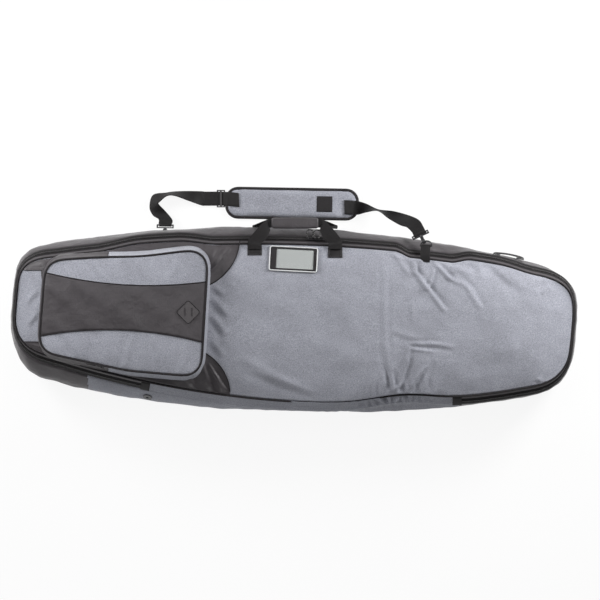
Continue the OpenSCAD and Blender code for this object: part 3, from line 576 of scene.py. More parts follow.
def round_curve(name, points, radius, rounds, closed=False):
    """A round curve through points."""
    curve = bpy.data.curves.new(name, "CURVE")
    curve.dimensions = "3D"
    curve.bevel_depth = radius
    curve.bevel_resolution = rounds
    curve.use_fill_caps = True
    line = curve.splines.new("POLY")
    line.points.add(len(points) - 1)
    for spot, p in zip(line.points, points):
        spot.co = (*p, 1)
    line.use_cyclic_u = closed
    return curve


def tube(name, points, radius, material, closed=False):
    """A round bead through points, as a mesh."""
    curve = round_curve(name, points, radius, 3, closed)
    scratch = bpy.data.objects.new(name, curve)
    mesh = bpy.data.meshes.new_from_object(scratch)
    bpy.data.objects.remove(scratch)
    bpy.data.curves.remove(curve)
    mesh.materials.clear()
    mesh.materials.append(material)
    mesh.shade_smooth()
    return linked(name, mesh)


def spline(stations, steps):
    """A smooth line through stations, each a tuple of vectors."""
    result = []
    last = len(stations) - 1
    for i in range(last):
        four = [stations[max(i - 1, 0)], stations[i], stations[i + 1], stations[min(i + 2, last)]]
        for k in range(steps):
            f = k / steps
            result.append(tuple(
                b + (c - a) * (f / 2) + (2 * a - 5 * b + 4 * c - d) * (f * f / 2)
                + (3 * b - 3 * c + d - a) * (f ** 3 / 2)
                for a, b, c, d in zip(*four)
            ))
    return result + [stations[-1]]


def ribbon(name, stations, material, thickness=None, steps=8, rows=6):
    """Webbing through stations of [middle, half width as a vector], both in millimetres."""
    line = spline([(Vector(m) * MM, Vector(h) * MM) for m, h in stations], steps)
    wide = max(2 * h.length for _, h in line)
    run = sum((b[0] - a[0]).length for a, b in zip(line, line[1:]))

    def place(u, w):
        f = u * (len(line) - 1)
        i = min(int(f), len(line) - 2)
        (m0, h0), (m1, h1) = line[i], line[i + 1]
        return m0.lerp(m1, f - i) + h0.lerp(h1, f - i) * (2 * w - 1)

    bm = grid(len(line) - 1, rows, place, (run, wide))
    made = thicken(piece(name, bm, material), thickness or sizes().webbing, 0.0)
    edge = made.modifiers.new("Selvage", "BEVEL")
    edge.width = 0.5 * MM
    edge.segments = 2
    edge.limit_method = "ANGLE"
    return made


def mirrored(stations):
    """The stations of a loop whose right half mirrors the left one."""
    flip = [((-m[0], m[1], m[2]), (-h[0], h[1], h[2])) for m, h in reversed(stations)]
    return stations + flip


def round_over(bm, edges, width, segments):
    """Rounds edges over."""
    bmesh.ops.bevel(
        bm, geom=edges, offset=width, offset_type="OFFSET", affect="EDGES", segments=segments, profile=0.5,
        material=-1, clamp_overlap=True,
    )


def softened(node, name, material, edge=0.5 * MM):
    """A copy of a small CAD piece with its edges rounded over."""
    bm = bmesh.new()
    bm.from_mesh(node_mesh(node))
    bmesh.ops.remove_doubles(bm, verts=bm.verts, dist=0.01 * MM)
    bmesh.ops.dissolve_limit(bm, angle_limit=math.radians(2), verts=bm.verts, edges=bm.edges)
    sharp = [e for e in bm.edges if e.is_manifold and e.calc_face_angle(0) > math.radians(50)]
    round_over(bm, sharp, edge, 2)
    made = piece(name, bm, material)
    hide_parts(node)
    return made


def stitches(name, lines, body, lift=0.3 * MM):
    """Rows of stitches along lines of points, as one piece on a body."""
    bm = bmesh.new()
    pitch = sizes().stitch
    for line in lines:
        dots = even(line, pitch, False)
        for a, b in zip(dots, dots[1:]):
            way = b - a
            turn = way.to_track_quat("X", "Z").to_matrix().to_4x4()
            size = Matrix.Diagonal((pitch * 0.7, 0.9 * MM, 0.6 * MM, 1))
            bmesh.ops.create_cube(bm, size=1, matrix=Matrix.Translation((a + b) / 2 + UP * lift) @ turn @ size)
    made = piece(name, bm, sewing_thread())
    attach(made, body)
    return made


def rounded_box(wide, tall, corner, steps=6):
    """Points round a box with rounded corners, anticlockwise, in its own units."""
    points = []
    for k, (sx, sy) in enumerate(((1, -1), (1, 1), (-1, 1), (-1, -1))):
        mid = Vector((sx * (wide / 2 - corner), sy * (tall / 2 - corner)))
        for i in range(steps + 1):
            a = math.radians(90 * (k - 1) + 90 * i / steps)
            points.append(mid + Vector((math.cos(a), math.sin(a))) * corner)
    return even(points, 2.5, True)


def laid_round(points, middle, degrees, tree, lift=0.0):
    """An outline in millimetres turned about a middle and laid on the top of a surface."""
    turn = Matrix.Rotation(math.radians(degrees), 2)
    return [on_top(tree, *((middle + turn @ p) * MM), lift) for p in points]


def inflate(made, voxel, pressure, cap, frames=20):
    """Remeshes a pad and lets cloth pressure fill it, with a limit on how far any point rises."""
    fine = made.modifiers.new("Voxels", "REMESH")
    fine.mode = "VOXEL"
    fine.voxel_size = voxel
    bake(made)
    before = [v.co.copy() for v in made.data.vertices]
    cloth = made.modifiers.new("Cloth", "CLOTH")
    cloth.settings.use_pressure = True
    cloth.settings.uniform_pressure_force = pressure
    cloth.settings.effector_weights.gravity = 0
    for k in range(1, frames + 1):
        bpy.context.scene.frame_set(k)
    bake(made)
    bpy.context.scene.frame_set(1)
    for v, start in zip(made.data.vertices, before):
        v.co = start + UP * min(cap, max(-cap, v.co.z - start.z))


def bake(made):
    """Applies a piece's modifiers to its mesh."""
    state = bpy.context.evaluated_depsgraph_get()
    mesh = bpy.data.meshes.new_from_object(made.evaluated_get(state))
    made.modifiers.clear()
    made.data = mesh
    mesh.shade_smooth()


def stand_in(slot, nodes):
    """Hides the CAD nodes that a piece takes the place of."""
    if nodes:
        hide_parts(*nodes)


def finish_piece(made, body, slot, *nodes):
    """Puts a piece on its body, in place of CAD nodes."""
    stand_in(slot, nodes)
    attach(made, body)


def crease(x, y, line):
    """Height at a place of one crease: a rounded ridge with a dip along its right side, dying away at its ends."""
    x0, y0, x1, y1, wide, high = line
    run = math.hypot(x1 - x0, y1 - y0)
    t = ((x - x0) * (x1 - x0) + (y - y0) * (y1 - y0)) / run ** 2
    if not -0.1 < t < 1.1:
        return 0.0
    side = ((x1 - x0) * (y - y0) - (y1 - y0) * (x - x0)) / run / wide
    if abs(side) > 5:
        return 0.0
    fade = math.sqrt(max(0.0, 1 - ((2 * t - 1) / 1.2) ** 2))
    return high * fade * (bell(side, 0, 1) - 0.7 * bell(side, -1.7, 1.1))


def creased(x, y, lines):
    """Height at a place of all the creases of a list."""
    return sum(crease(x, y, line) for line in lines)


def rumple(x, y, scale, seed):
    """Even unevenness of cloth: smooth noise from -1 to 1, with features of the given size in millimetres."""
    return noise.noise(Vector((x / scale, y / scale, seed)))


# Lid

# Creases of the front panel, in millimetres: start, end, half width and height
LID_CREASES = [
    (231, 126, 233, -92, 4, 2.6), (246, 120, 248, -112, 4, -2.4), (240, -80, 262, -200, 8, 3.4),
    (316, 112, 311, 152, 5, 6.0), (350, 72, 315, 120, 5, 6.5), (392, 18, 345, 80, 5, 5.5),
    (410, 98, 360, 151, 4.5, 6.5), (434, 86, 400, 106, 5, 4.0), (350, 74, 364, 121, 4.5, 5.5),
    (458, 72, 422, 106, 6, 3.6), (486, 24, 452, 80, 7, 2.8), (290, 150, 244, 172, 5, 4.0),
    (300, 110, 262, 168, 7, 3.4), (342, 60, 336, 138, 9, 2.4), (470, 112, 392, 142, 8, 2.8),
    (307, 28, 308, -18, 4, 2.4), (346, -66, 412, -80, 6, 2.6), (262, -38, 330, -62, 8, 2.0),
    (294, -120, 300, -76, 4, 4.0), (268, -196, 296, -112, 4.5, 7.0), (268, -206, 250, -150, 5, 5.5),
    (294, -204, 338, -136, 5, 6.0), (246, -206, 230, -140, 5, 5.0), (330, -204, 352, -120, 7, 4.0),
    (360, -92, 304, -84, 4, 3.0), (372, -74, 306, -70, 5, 2.6), (256, -196, 282, -176, 4, 4.0),
    (404, -118, 384, -196, 10, 2.2), (640, -164, 662, -184, 6, 4.2), (668, 82, 650, 62, 8, 3.0),
    (518, 142, 570, 88, 9, 2.8), (556, 122, 600, 76, 11, 2.0), (480, 140, 492, 100, 9, 2.0),
    (-212, 44, -176, 6, 9, 4.2), (-214, -2, -182, -44, 8, 4.2), (-212, 80, -188, 60, 8, 3.2),
    (-216, -64, -190, -100, 8, 3.2), (-133, -114, -6, -178, 11, 3.4), (-120, -140, 40, -196, 9, 3.0),
    (-60, 60, 40, -10, 30, 1.8), (60, 90, 170, -40, 34, 2.0), (30, -60, 190, -110, 30, 2.2),
    (470, 60, 600, -60, 40, 2.0), (480, -60, 640, -110, 36, 2.2), (-160, 120, -60, 20, 26, 1.6),
    (-704, -20, -678, 10, 8, 2.0), (-706, 40, -680, 66, 8, 1.8),
]
# Creases of the dark yokes, in the same way
YOKE_CREASES = [
    (-168, 186, -218, 122, 6, 5.0), (-196, 186, -236, 104, 8, 3.0), (-240, 186, -262, 110, 9, 2.4),
    (-182, -196, -226, -128, 6, 4.6), (-216, -204, -250, -112, 7, 4.0), (-262, -196, -282, -150, 7, 3.6),
    (-330, -182, -420, -160, 6, 3.6), (-440, -166, -540, -132, 6, 3.4), (-560, -128, -640, -92, 7, 3.6),
    (-520, 158, -600, 140, 8, 2.4), (-690, 118, -700, 92, 6, 2.4), (-696, -70, -660, -92, 7, 3.0),
    (-300, 196, -340, 186, 6, 2.6), (-420, 190, -380, 180, 6, 2.6), (-204, -160, -188, -210, 5, 3.4),
]
# Puckers where the lower edge is gathered: first and last place, spacing and height
PUCKERS = (90, 385, 19, 3.6)


def lid_relief(x, y, low, high):
    """Relief of the front panel in millimetres at a place between its lower and upper edge."""
    total = creased(x, y, LID_CREASES) + 1.7 * rumple(x, y, 95, 1.7) + 0.7 * rumple(x, y, 34, 4.2)
    first, last, pitch, tall = PUCKERS
    if first < x < last:
        fade = math.sin(math.pi * (x - first) / (last - first))
        wave = math.sin(math.tau * (x + 14 * rumple(x, y, 60, 9.1)) / pitch)
        total += tall * fade * wave * bell(y, low, 34)
    hem = ease(min(y - low, high - y) / 12)
    return total * hem


# Opposite corners of the card frame
CARD_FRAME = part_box("card_frame")


def beside_card(x, y):
    """Share of the relief that a place keeps: none under the stiff card window."""
    low, high = CARD_FRAME
    out = max(low.x - x, x - high.x, low.y - y, y - high.y)
    return ease(out / 0.02)


# How far the two ends lean, as a slope
END_LEAN = math.tan(math.radians(5))
# The yokes' curved inner edge: middle and radius of its arc
YOKE_ARCS = {"upper_yoke": ((-0.283, 0.209), 0.138), "lower_yoke": ((-0.297, -0.206), 0.126)}
# The straight dark tails at the left end: where they start, and the lower and upper one's inner edge
TAIL_X, TAIL_LOW, TAIL_HIGH = -0.665, -0.066, 0.122


def leaning(rim, u, w):
    """The place at two shares of a panel whose lines lean with the ends."""
    low, high = rim.column(u, END_LEAN, END_LEAN)
    return low.lerp(high, w)


class BAG_OT_lid_cloth(bpy.types.Operator):
    """Lays the grey front panel over the padding and creases it, then sews the dark yokes on"""

    bl_idname = "bag.lid_cloth"
    bl_label = "Front panel"

    def execute(self, context):
        rim = Rim(*LID_NODES, shift=pulled)
        tree = surface(*[node_mesh(n) for n in LID_NODES])
        across, up = (round(side / sizes().cell) for side in PANEL)
        lines = {}

        def place(u, w):
            key = round(u * across)
            if key not in lines:
                closer_at_ends = u - 0.55 * math.sin(math.tau * u) / math.tau
                lines[key] = rim.column(closer_at_ends, END_LEAN, END_LEAN)
            p = lines[key][0].lerp(lines[key][1], w)
            return on_top(tree, p.x, p.y)

        bm = grid(across, up, place, PANEL)
        relax(bm, 14)
        columns = [lines[k] for k in sorted(lines)]
        starts = [low.x - END_LEAN * low.y for low, _ in columns]
        for v in bm.verts:
            if v.is_boundary:
                continue
            low, high = columns[min(bisect(starts, v.co.x - END_LEAN * v.co.y), len(columns) - 1)]
            lift = lid_relief(v.co.x / MM, v.co.y / MM, low.y / MM, high.y / MM) * MM * sizes().slack
            free = beside_card(v.co.x, v.co.y)
            v.co.z += lift * free - 0.6 * MM * (1 - free)
        cloth = thicken(piece("lid_cloth", bm, heather_polyester()), sizes().cloth)
        finish_piece(cloth, "lid", "grey_cloth", "front_panel", "end_panel")
        self.yokes(rim, cloth)
        return {"FINISHED"}

    def yokes(self, rim, cloth):
        """Lays each yoke on the front panel, from the bag's edge to an arc, and binds its inner edge."""
        tree = surface(cloth.data)
        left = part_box("upper_yoke")[0].x - 5 * MM
        for name, ((cx, cy), radius) in YOKE_ARCS.items():
            upper = name == "upper_yoke"
            sign = -1 if upper else 1
            tail_y = TAIL_HIGH if upper else TAIL_LOW
            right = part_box(name)[1].x

            def inner(x):
                if x < TAIL_X:
                    return tail_y
                return cy + sign * math.sqrt(max(0, radius ** 2 - max(0, x - cx) ** 2))

            def place(u, w):
                x = left + (right - left) * u * (2 - u)
                low, high = rim.cut(x)
                a, b = (inner(x), high - 0.5 * MM) if upper else (low + 0.5 * MM, inner(x))
                y = a + (b - a) * w
                at = (x / MM, y / MM)
                folds = creased(*at, YOKE_CREASES) + 0.9 * rumple(*at, 24, 7.3) + 1.3 * rumple(*at, 60, 3.1)
                slack = ease(min(b - y, y - a) / 0.015)
                return on_top(tree, x, y, max(0.8, 1.6 + folds * slack) * MM)

            bm = grid(170, 40, place, (right - left, 0.1))
            yoke = thicken(piece(name + "_cloth", bm, ripstop_polyester()), 1.4 * MM)
            finish_piece(yoke, "lid", "dark_cloth", name)
            top = surface(yoke.data)
            edge = []
            for k in range(41):
                turn = math.radians(90) * (1 - k / 41 * 0.98)
                edge.append(on_top(top, cx + radius * math.cos(turn), cy + sign * radius * math.sin(turn), 0.2 * MM))
            finish_piece(tube(name + "_seam", edge, 1.5 * MM, binding_tape()), "lid", "piping")
            tail = [on_top(top, x, tail_y, 0.1 * MM) for x in (left + 4 * MM, -0.7, TAIL_X)]
            finish_piece(tube(name + "_end_seam", tail, 0.8 * MM, binding_tape()), "lid", "piping")


# Edges, zips and walls


def crumpled(p, out):
    """Height in millimetres of the folds in the gathered stretch of the lower edge, at a distance outside the rim."""
    if p.y > 0 or not 3 < out < 25:
        return 0.0
    x = p.x / MM
    wave = math.sin(math.tau * (x + 14 * rumple(x, out, 16, 5.5)) / 20) + 0.6 * rumple(x, out, 9, 1.2)
    return 4.5 * wave * bell(p.x, 0.255, 0.085) * (1 - ((out - 14) / 11) ** 2)


def profile(points):
    """A way to lay a sleeve along a section's points."""

    def place(p, n, w):
        f = w * (len(points) - 1)
        i = min(int(f), len(points) - 2)
        out, z = (a + (b - a) * (f - i) for a, b in zip(points[i], points[i + 1]))
        fold = crumpled(p, out)
        out = out * narrowed(n) + fold
        return Vector((p.x + n.x * out * MM, p.y + n.y * out * MM, (z + fold) * MM))

    return place


def sleeve(name, rim, start, end, rows, place, materials, second=None, turns=0):
    """Cloth or tape along a stretch of a rim. The second material goes where a test of a face's middle says so."""
    closed = end - start > rim.length - MM
    wide = (place(*rim.at(start), 1) - place(*rim.at(start), 0)).length
    bm = grid(
        round((end - start) / sizes().cell), rows, lambda u, w: place(*rim.at(start + u * (end - start)), w),
        (end - start, wide), closed,
    )
    relax(bm, turns, False)
    if second:
        for face in bm.faces:
            face.material_index = int(second(face.calc_center_median()))
    return piece(name, bm, *materials)


def zip_teeth(name, rim, start, end, outset, z, tilt, side):
    """One row of zip teeth beside the line at a distance outside the rim; tilt is how far the zip faces upwards."""
    bm = bmesh.new()
    pitch = sizes().tooth
    for k in range(int((end - start) / pitch)):
        p, flat = rim.at(start + (k + (0.5 if side < 0 else 0)) * pitch)
        n = flat.to_3d()
        along, face = Vector((-n.y, n.x, 0)), n * math.cos(tilt) + UP * math.sin(tilt)
        across = UP * math.cos(tilt) - n * math.sin(tilt)
        spot = p.to_3d() + n * outset * narrowed(n) + UP * z + across * side * 1.0 * MM + face * 1.1 * MM
        turn = Matrix((along, across, face)).transposed().to_4x4()
        size = Matrix.Diagonal((pitch * 0.55, 2.8 * MM, 1.9 * MM, 1))
        bmesh.ops.create_cube(bm, size=1, matrix=Matrix.Translation(spot) @ turn @ size)
    round_over(bm, bm.edges[:], 0.3 * MM, 1)
    made = piece(name, bm, coil_nylon())
    return made


# Where the cloth hinge and the grey part of the wall start and end along the lower edge
HINGE = (-0.392, 0.426)
GREY_WALL = (-0.548, 0.434)
# Sections of the edge: points of [distance outside the rim, height] in millimetres
LID_SLOPE = ((15.6, 170.4), (11.1, 174.9), (7, 179.4), (3, 184.6))
LID_TAPE = ((15.9, 170.9), (10.4, 176.4))
BASE_TAPE = ((24.4, 161.2), (20, 166), (16.4, 169.5))
HINGE_HEM = ((24.4, 161), (20, 165.6), (16, 169.6), (13.4, 170.6), (9.6, 174.4))
STOP_LAP = ((27, 160.5), (18.2, 172), (5, 185.4))
FLAP_SIDE = ((0.6, 226.8), (1.0, 235), (0.2, 244.5))
# The zip's line outside the rim, how far it faces upwards, and the heights of its two rows of teeth
ZIP_OUT, ZIP_TILT = 16 * MM, math.pi / 4
LID_TEETH_Z, BASE_TEETH_Z = 170.2 * MM, 170 * MM
# Heights of the front and back seams, of the side wall and of its lining, and of the ends of the hinge's bend
FRONT_SEAM_Z, BACK_SEAM_Z = 186 * MM, 2.9 * MM
WALL_LOW, WALL_HIGH = 5.6 * MM, 161.4 * MM
LINING_LOW, LINING_HIGH = 6.0, 159.6


def zip_stretch(rim):
    """Where along the rim the main zip starts and ends: from the right tab round the top to the left tab."""
    start, end = rim.along(HINGE[1], False), rim.along(HINGE[0], False)
    return start, end if end > start else end + rim.length


def along_front(first, last):
    """A test for places on the lower edge between two ends."""
    return lambda p: p.y < 0 and first < p.x < last


def rolled_under(p):
    """How far the seam's piping rolls out of sight along the lower edge."""
    if p.y > 0:
        return 0.0
    return 9 * MM * plateau(p.x, -0.03, 0.05, 0.235, 0.03) + 1.2 * MM * ease((p.x + 0.2) / 0.1)


class BAG_OT_lid_edge(bpy.types.Operator):
    """Binds the front seam and hangs the sloping zip band from it"""

    bl_idname = "bag.lid_edge"
    bl_label = "Front seam and lid zip"

    def execute(self, context):
        rim = Rim(*LID_NODES, shift=pulled)
        line = rim.beside(SEAM_POINTS, 2.6 * MM, lambda p: FRONT_SEAM_Z - rolled_under(p))
        finish_piece(tube("front_seam", line, 2.7 * MM, binding_tape(), True), "lid", "piping", "front_piping")
        cloth = [ripstop_polyester(), heather_polyester()]
        band = sleeve("lid_edge_band", rim, 0, rim.length, 7, profile(LID_SLOPE), cloth, along_front(*HINGE))
        finish_piece(thicken(band, 1.2 * MM), "lid", "dark_cloth", "lid_band")
        start, end = zip_stretch(rim)
        tape = sleeve("lid_zip_web", rim, start, end, 2, profile(LID_TAPE), [nylon_webbing()])
        finish_piece(thicken(tape, 0.6 * MM), "lid", "zip", "lid_zip_tape")
        teeth = zip_teeth("lid_zip_teeth", rim, start, end, ZIP_OUT, LID_TEETH_Z, ZIP_TILT, 1)
        finish_piece(teeth, "lid", "zip", "lid_zip_chain")
        return {"FINISHED"}


def wall_relief(co, n):
    """Relief of the side wall in millimetres: slack folds, gathered along the lower edge."""
    t = min(1, max(0, (co.z / MM - 6) / 155))
    total = 3.0 * noise.noise(co / 0.06) + 1.6 * noise.noise(co / 0.024 + Vector((3, 1, 7)))
    first, last, pitch, tall = PUCKERS
    x = co.x / MM
    if n.y < -0.5 and first - 40 < x < last + 20:
        fade = math.sin(math.pi * (x - first + 40) / (last - first + 60))
        fold = math.sin(math.tau * (x + 16 * noise.noise(co / 0.05)) / pitch / 1.3)
        total += tall * fade * fold * ease((co.z - 0.1) / 0.03)
    return total * math.sin(math.pi * t) ** 0.6


def steepened(n, z):
    """How far the two ends lean in towards the top of the wall, in millimetres."""
    return 12 * n.x * n.x * ease((z - 0.02) / 0.13)


class BAG_OT_base(bpy.types.Operator):
    """Sews the tray: side wall, back and the lower half of the zip"""

    bl_idname = "bag.base"
    bl_label = "Side wall, back and base zip"

    def execute(self, context):
        rim = Rim(*LID_NODES)
        tree = surface(node_mesh("base_gusset"), node_mesh("hinge_gusset"))

        def wall(p, n, w):
            z = WALL_LOW + (WALL_HIGH - WALL_LOW) * w
            out = n.to_3d()
            far = p.to_3d() + out * 0.12 + UP * z
            hit = tree.ray_cast(far, -out, 0.125)[0] or tree.find_nearest(far - out * 0.1)[0]
            hit = hit + out * wall_relief(hit, n) * MM * sizes().slack
            return hit - out * steepened(n, z) * MM + followed(p, z)

        cloth = [ripstop_polyester(), heather_polyester()]
        side = sleeve("side_wall", rim, 0, rim.length, 24, wall, cloth, along_front(*GREY_WALL), 3)
        finish_piece(thicken(side, sizes().cloth), "base", "dark_cloth", "base_gusset", "hinge_gusset")
        edge = Rim(*LID_NODES, shift=pulled)
        start, end = zip_stretch(edge)
        tape = sleeve("base_zip_web", edge, start, end, 3, profile(BASE_TAPE), [nylon_webbing()])
        finish_piece(thicken(tape, 0.8 * MM), "base", "zip", "base_zip_tape")
        teeth = zip_teeth("base_zip_teeth", edge, start, end, ZIP_OUT, BASE_TEETH_Z, ZIP_TILT, -1)
        finish_piece(teeth, "base", "zip", "base_zip_chain")
        fold = sleeve("hinge_fold", edge, end, start + edge.length, 16, profile(HINGE_HEM), [heather_polyester()])
        thicken(fold, 1.2 * MM)
        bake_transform(fold)
        for name, at, nodes in (("zip_stop_right", start, ["zip_end_tabs"]), ("zip_stop_left", end, [])):
            stop = sleeve(name, edge, at - 12 * MM, at + 12 * MM, 6, profile(STOP_LAP), [sewn_webbing()])
            finish_piece(thicken(stop, 1.6 * MM), "base", "black_webbing", *nodes)
        back = Rim("back_panel")
        under = grid(round(PANEL[0] / 0.02), 24, lambda u, w: leaning(back, u, 1 - w).to_3d(), PANEL)
        panel = piece("back_cloth", under, ripstop_polyester())
        finish_piece(thicken(panel, 1.6 * MM), "base", "dark_cloth", "back_panel")
        line = back.beside(SEAM_POINTS, 2.8 * MM, lambda p: BACK_SEAM_Z)
        finish_piece(tube("back_seam", line, 2.6 * MM, binding_tape(), True), "base", "piping", "back_piping")
        return {"FINISHED"}


# Cells of the flat linings along and across the bag
LINING_CELLS = (150, 44)


class BAG_OT_linings(bpy.types.Operator):
    """Lines the lid, the side wall and the back with taffeta over foam"""

    bl_idname = "bag.linings"
    bl_label = "Linings"

    def execute(self, context):
        lining = lining_taffeta()
        lid, lid_tree = Rim("front_lining", shift=pulled), surface(node_mesh("front_lining"))

        def above(u, w):
            p = leaning(lid, u, 1 - w)
            hit = lid_tree.ray_cast(p.to_3d(), UP)[0]
            z = hit.z if hit else 0.181
            return Vector((p.x, p.y, z - 0.6 * MM * (1 + rumple(p.x / MM, p.y / MM, 70, 2.2))))

        bm = grid(*LINING_CELLS, above, PANEL)
        relax(bm, 4)
        made = piece("lid_lining", bm, lining)
        finish_piece(thicken(made, 0.8 * MM), "lid", "lining", "front_lining", "front_foam")
        rim, wall_tree = Rim(*LID_NODES), surface(node_mesh("gusset_lining"))

        def inside(p, n, w):
            z = (LINING_HIGH - (LINING_HIGH - LINING_LOW) * w) * MM
            out = n.to_3d()
            near = p.to_3d() - out * 0.1 + UP * z
            hit = wall_tree.ray_cast(near, out)[0] or wall_tree.find_nearest(near + out * 0.1)[0]
            hit -= out * MM * (0.6 + 0.6 * noise.noise(hit / 0.07) + steepened(n, z))
            return hit + followed(p, z)

        made = sleeve("wall_lining", rim, 0, rim.length, 18, inside, [lining], None, 2)
        finish_piece(thicken(made, 0.8 * MM), "base", "lining", "gusset_lining", "gusset_foam")
        back = Rim("back_lining")

        def floor(u, w):
            p = leaning(back, u, w)
            return Vector((p.x, p.y, (7.2 + 0.5 * rumple(p.x / MM, p.y / MM, 80, 5.5)) * MM))

        made = piece("back_lining_cloth", grid(*LINING_CELLS, floor, PANEL), lining)
        finish_piece(thicken(made, 0.8 * MM), "base", "lining", "back_lining", "back_foam")
        return {"FINISHED"}


# Boot pocket

# Where the flap folds back
FOLD_X = -0.490
# How far the pocket's left and right ends lean, as slopes
POCKET_LEANS = (0.083, 0.06)
# Length and width of the face, and of its dark band, for their flat maps
FACE, BAND = (0.45, 0.3), (0.45, 0.13)
# Heights of the pocket's walls and zip, in millimetres, and of the bound seam round its face
WALL_TOP, ZIP_WALL_TOP, POCKET_ZIP_Z = 244.5, 225.2, 226
POCKET_SEAM_Z = 246.2 * MM
# Middle, side and corner radius of the moulded tab, in millimetres
LASH_TAB, LASH_SIDE, LASH_CORNER = Vector((-279, 12)), 44.6, 6
# Creases of the pocket's face, in millimetres: start, end, half width and height
POCKET_CREASES = [
    (-548, 156, -486, 88, 8, 2.2), (-580, 150, -530, 100, 9, 1.6), (-420, 158, -380, 96, 10, 1.8),
    (-300, 150, -330, 96, 9, 1.6), (-426, -55, -446, -138, 9, 2.2), (-500, -44, -470, -120, 10, 1.8),
    (-360, -70, -330, -140, 10, 2.0), (-280, -86, -300, -142, 8, 1.6), (-600, -46, -560, -108, 12, 1.8),
    (-560, 78, -420, -20, 22, 1.6), (-620, 60, -520, -30, 24, 1.6), (-420, 60, -330, 0, 20, 1.5),
    (-652, 90, -600, 40, 12, 1.8), (-656, -10, -600, -40, 14, 1.6), (-240, 60, -222, 0, 9, 1.6),
]


def band_top(x):
    """The dark band's upper edge, an arc that hangs down."""
    return 1.182 - math.sqrt(1.1 ** 2 - (x + 0.380) ** 2)


def band_low(x):
    """The dark band's lower edge, an arc that rises."""
    return math.sqrt(0.94 ** 2 - (x - FOLD_X) ** 2) - 0.974


def sagged(p):
    """The pocket's upper edge hangs a little between its corners."""
    low = 6 * MM * bell(p.x, -0.4, 0.085) if p.y > 0.05 else 0
    return Vector((p.x, p.y - low))


def across_fold(made, slot, *nodes):
    """Bakes a piece of the pocket into its mesh, in place of CAD nodes."""
    stand_in(slot, nodes)
    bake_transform(made)


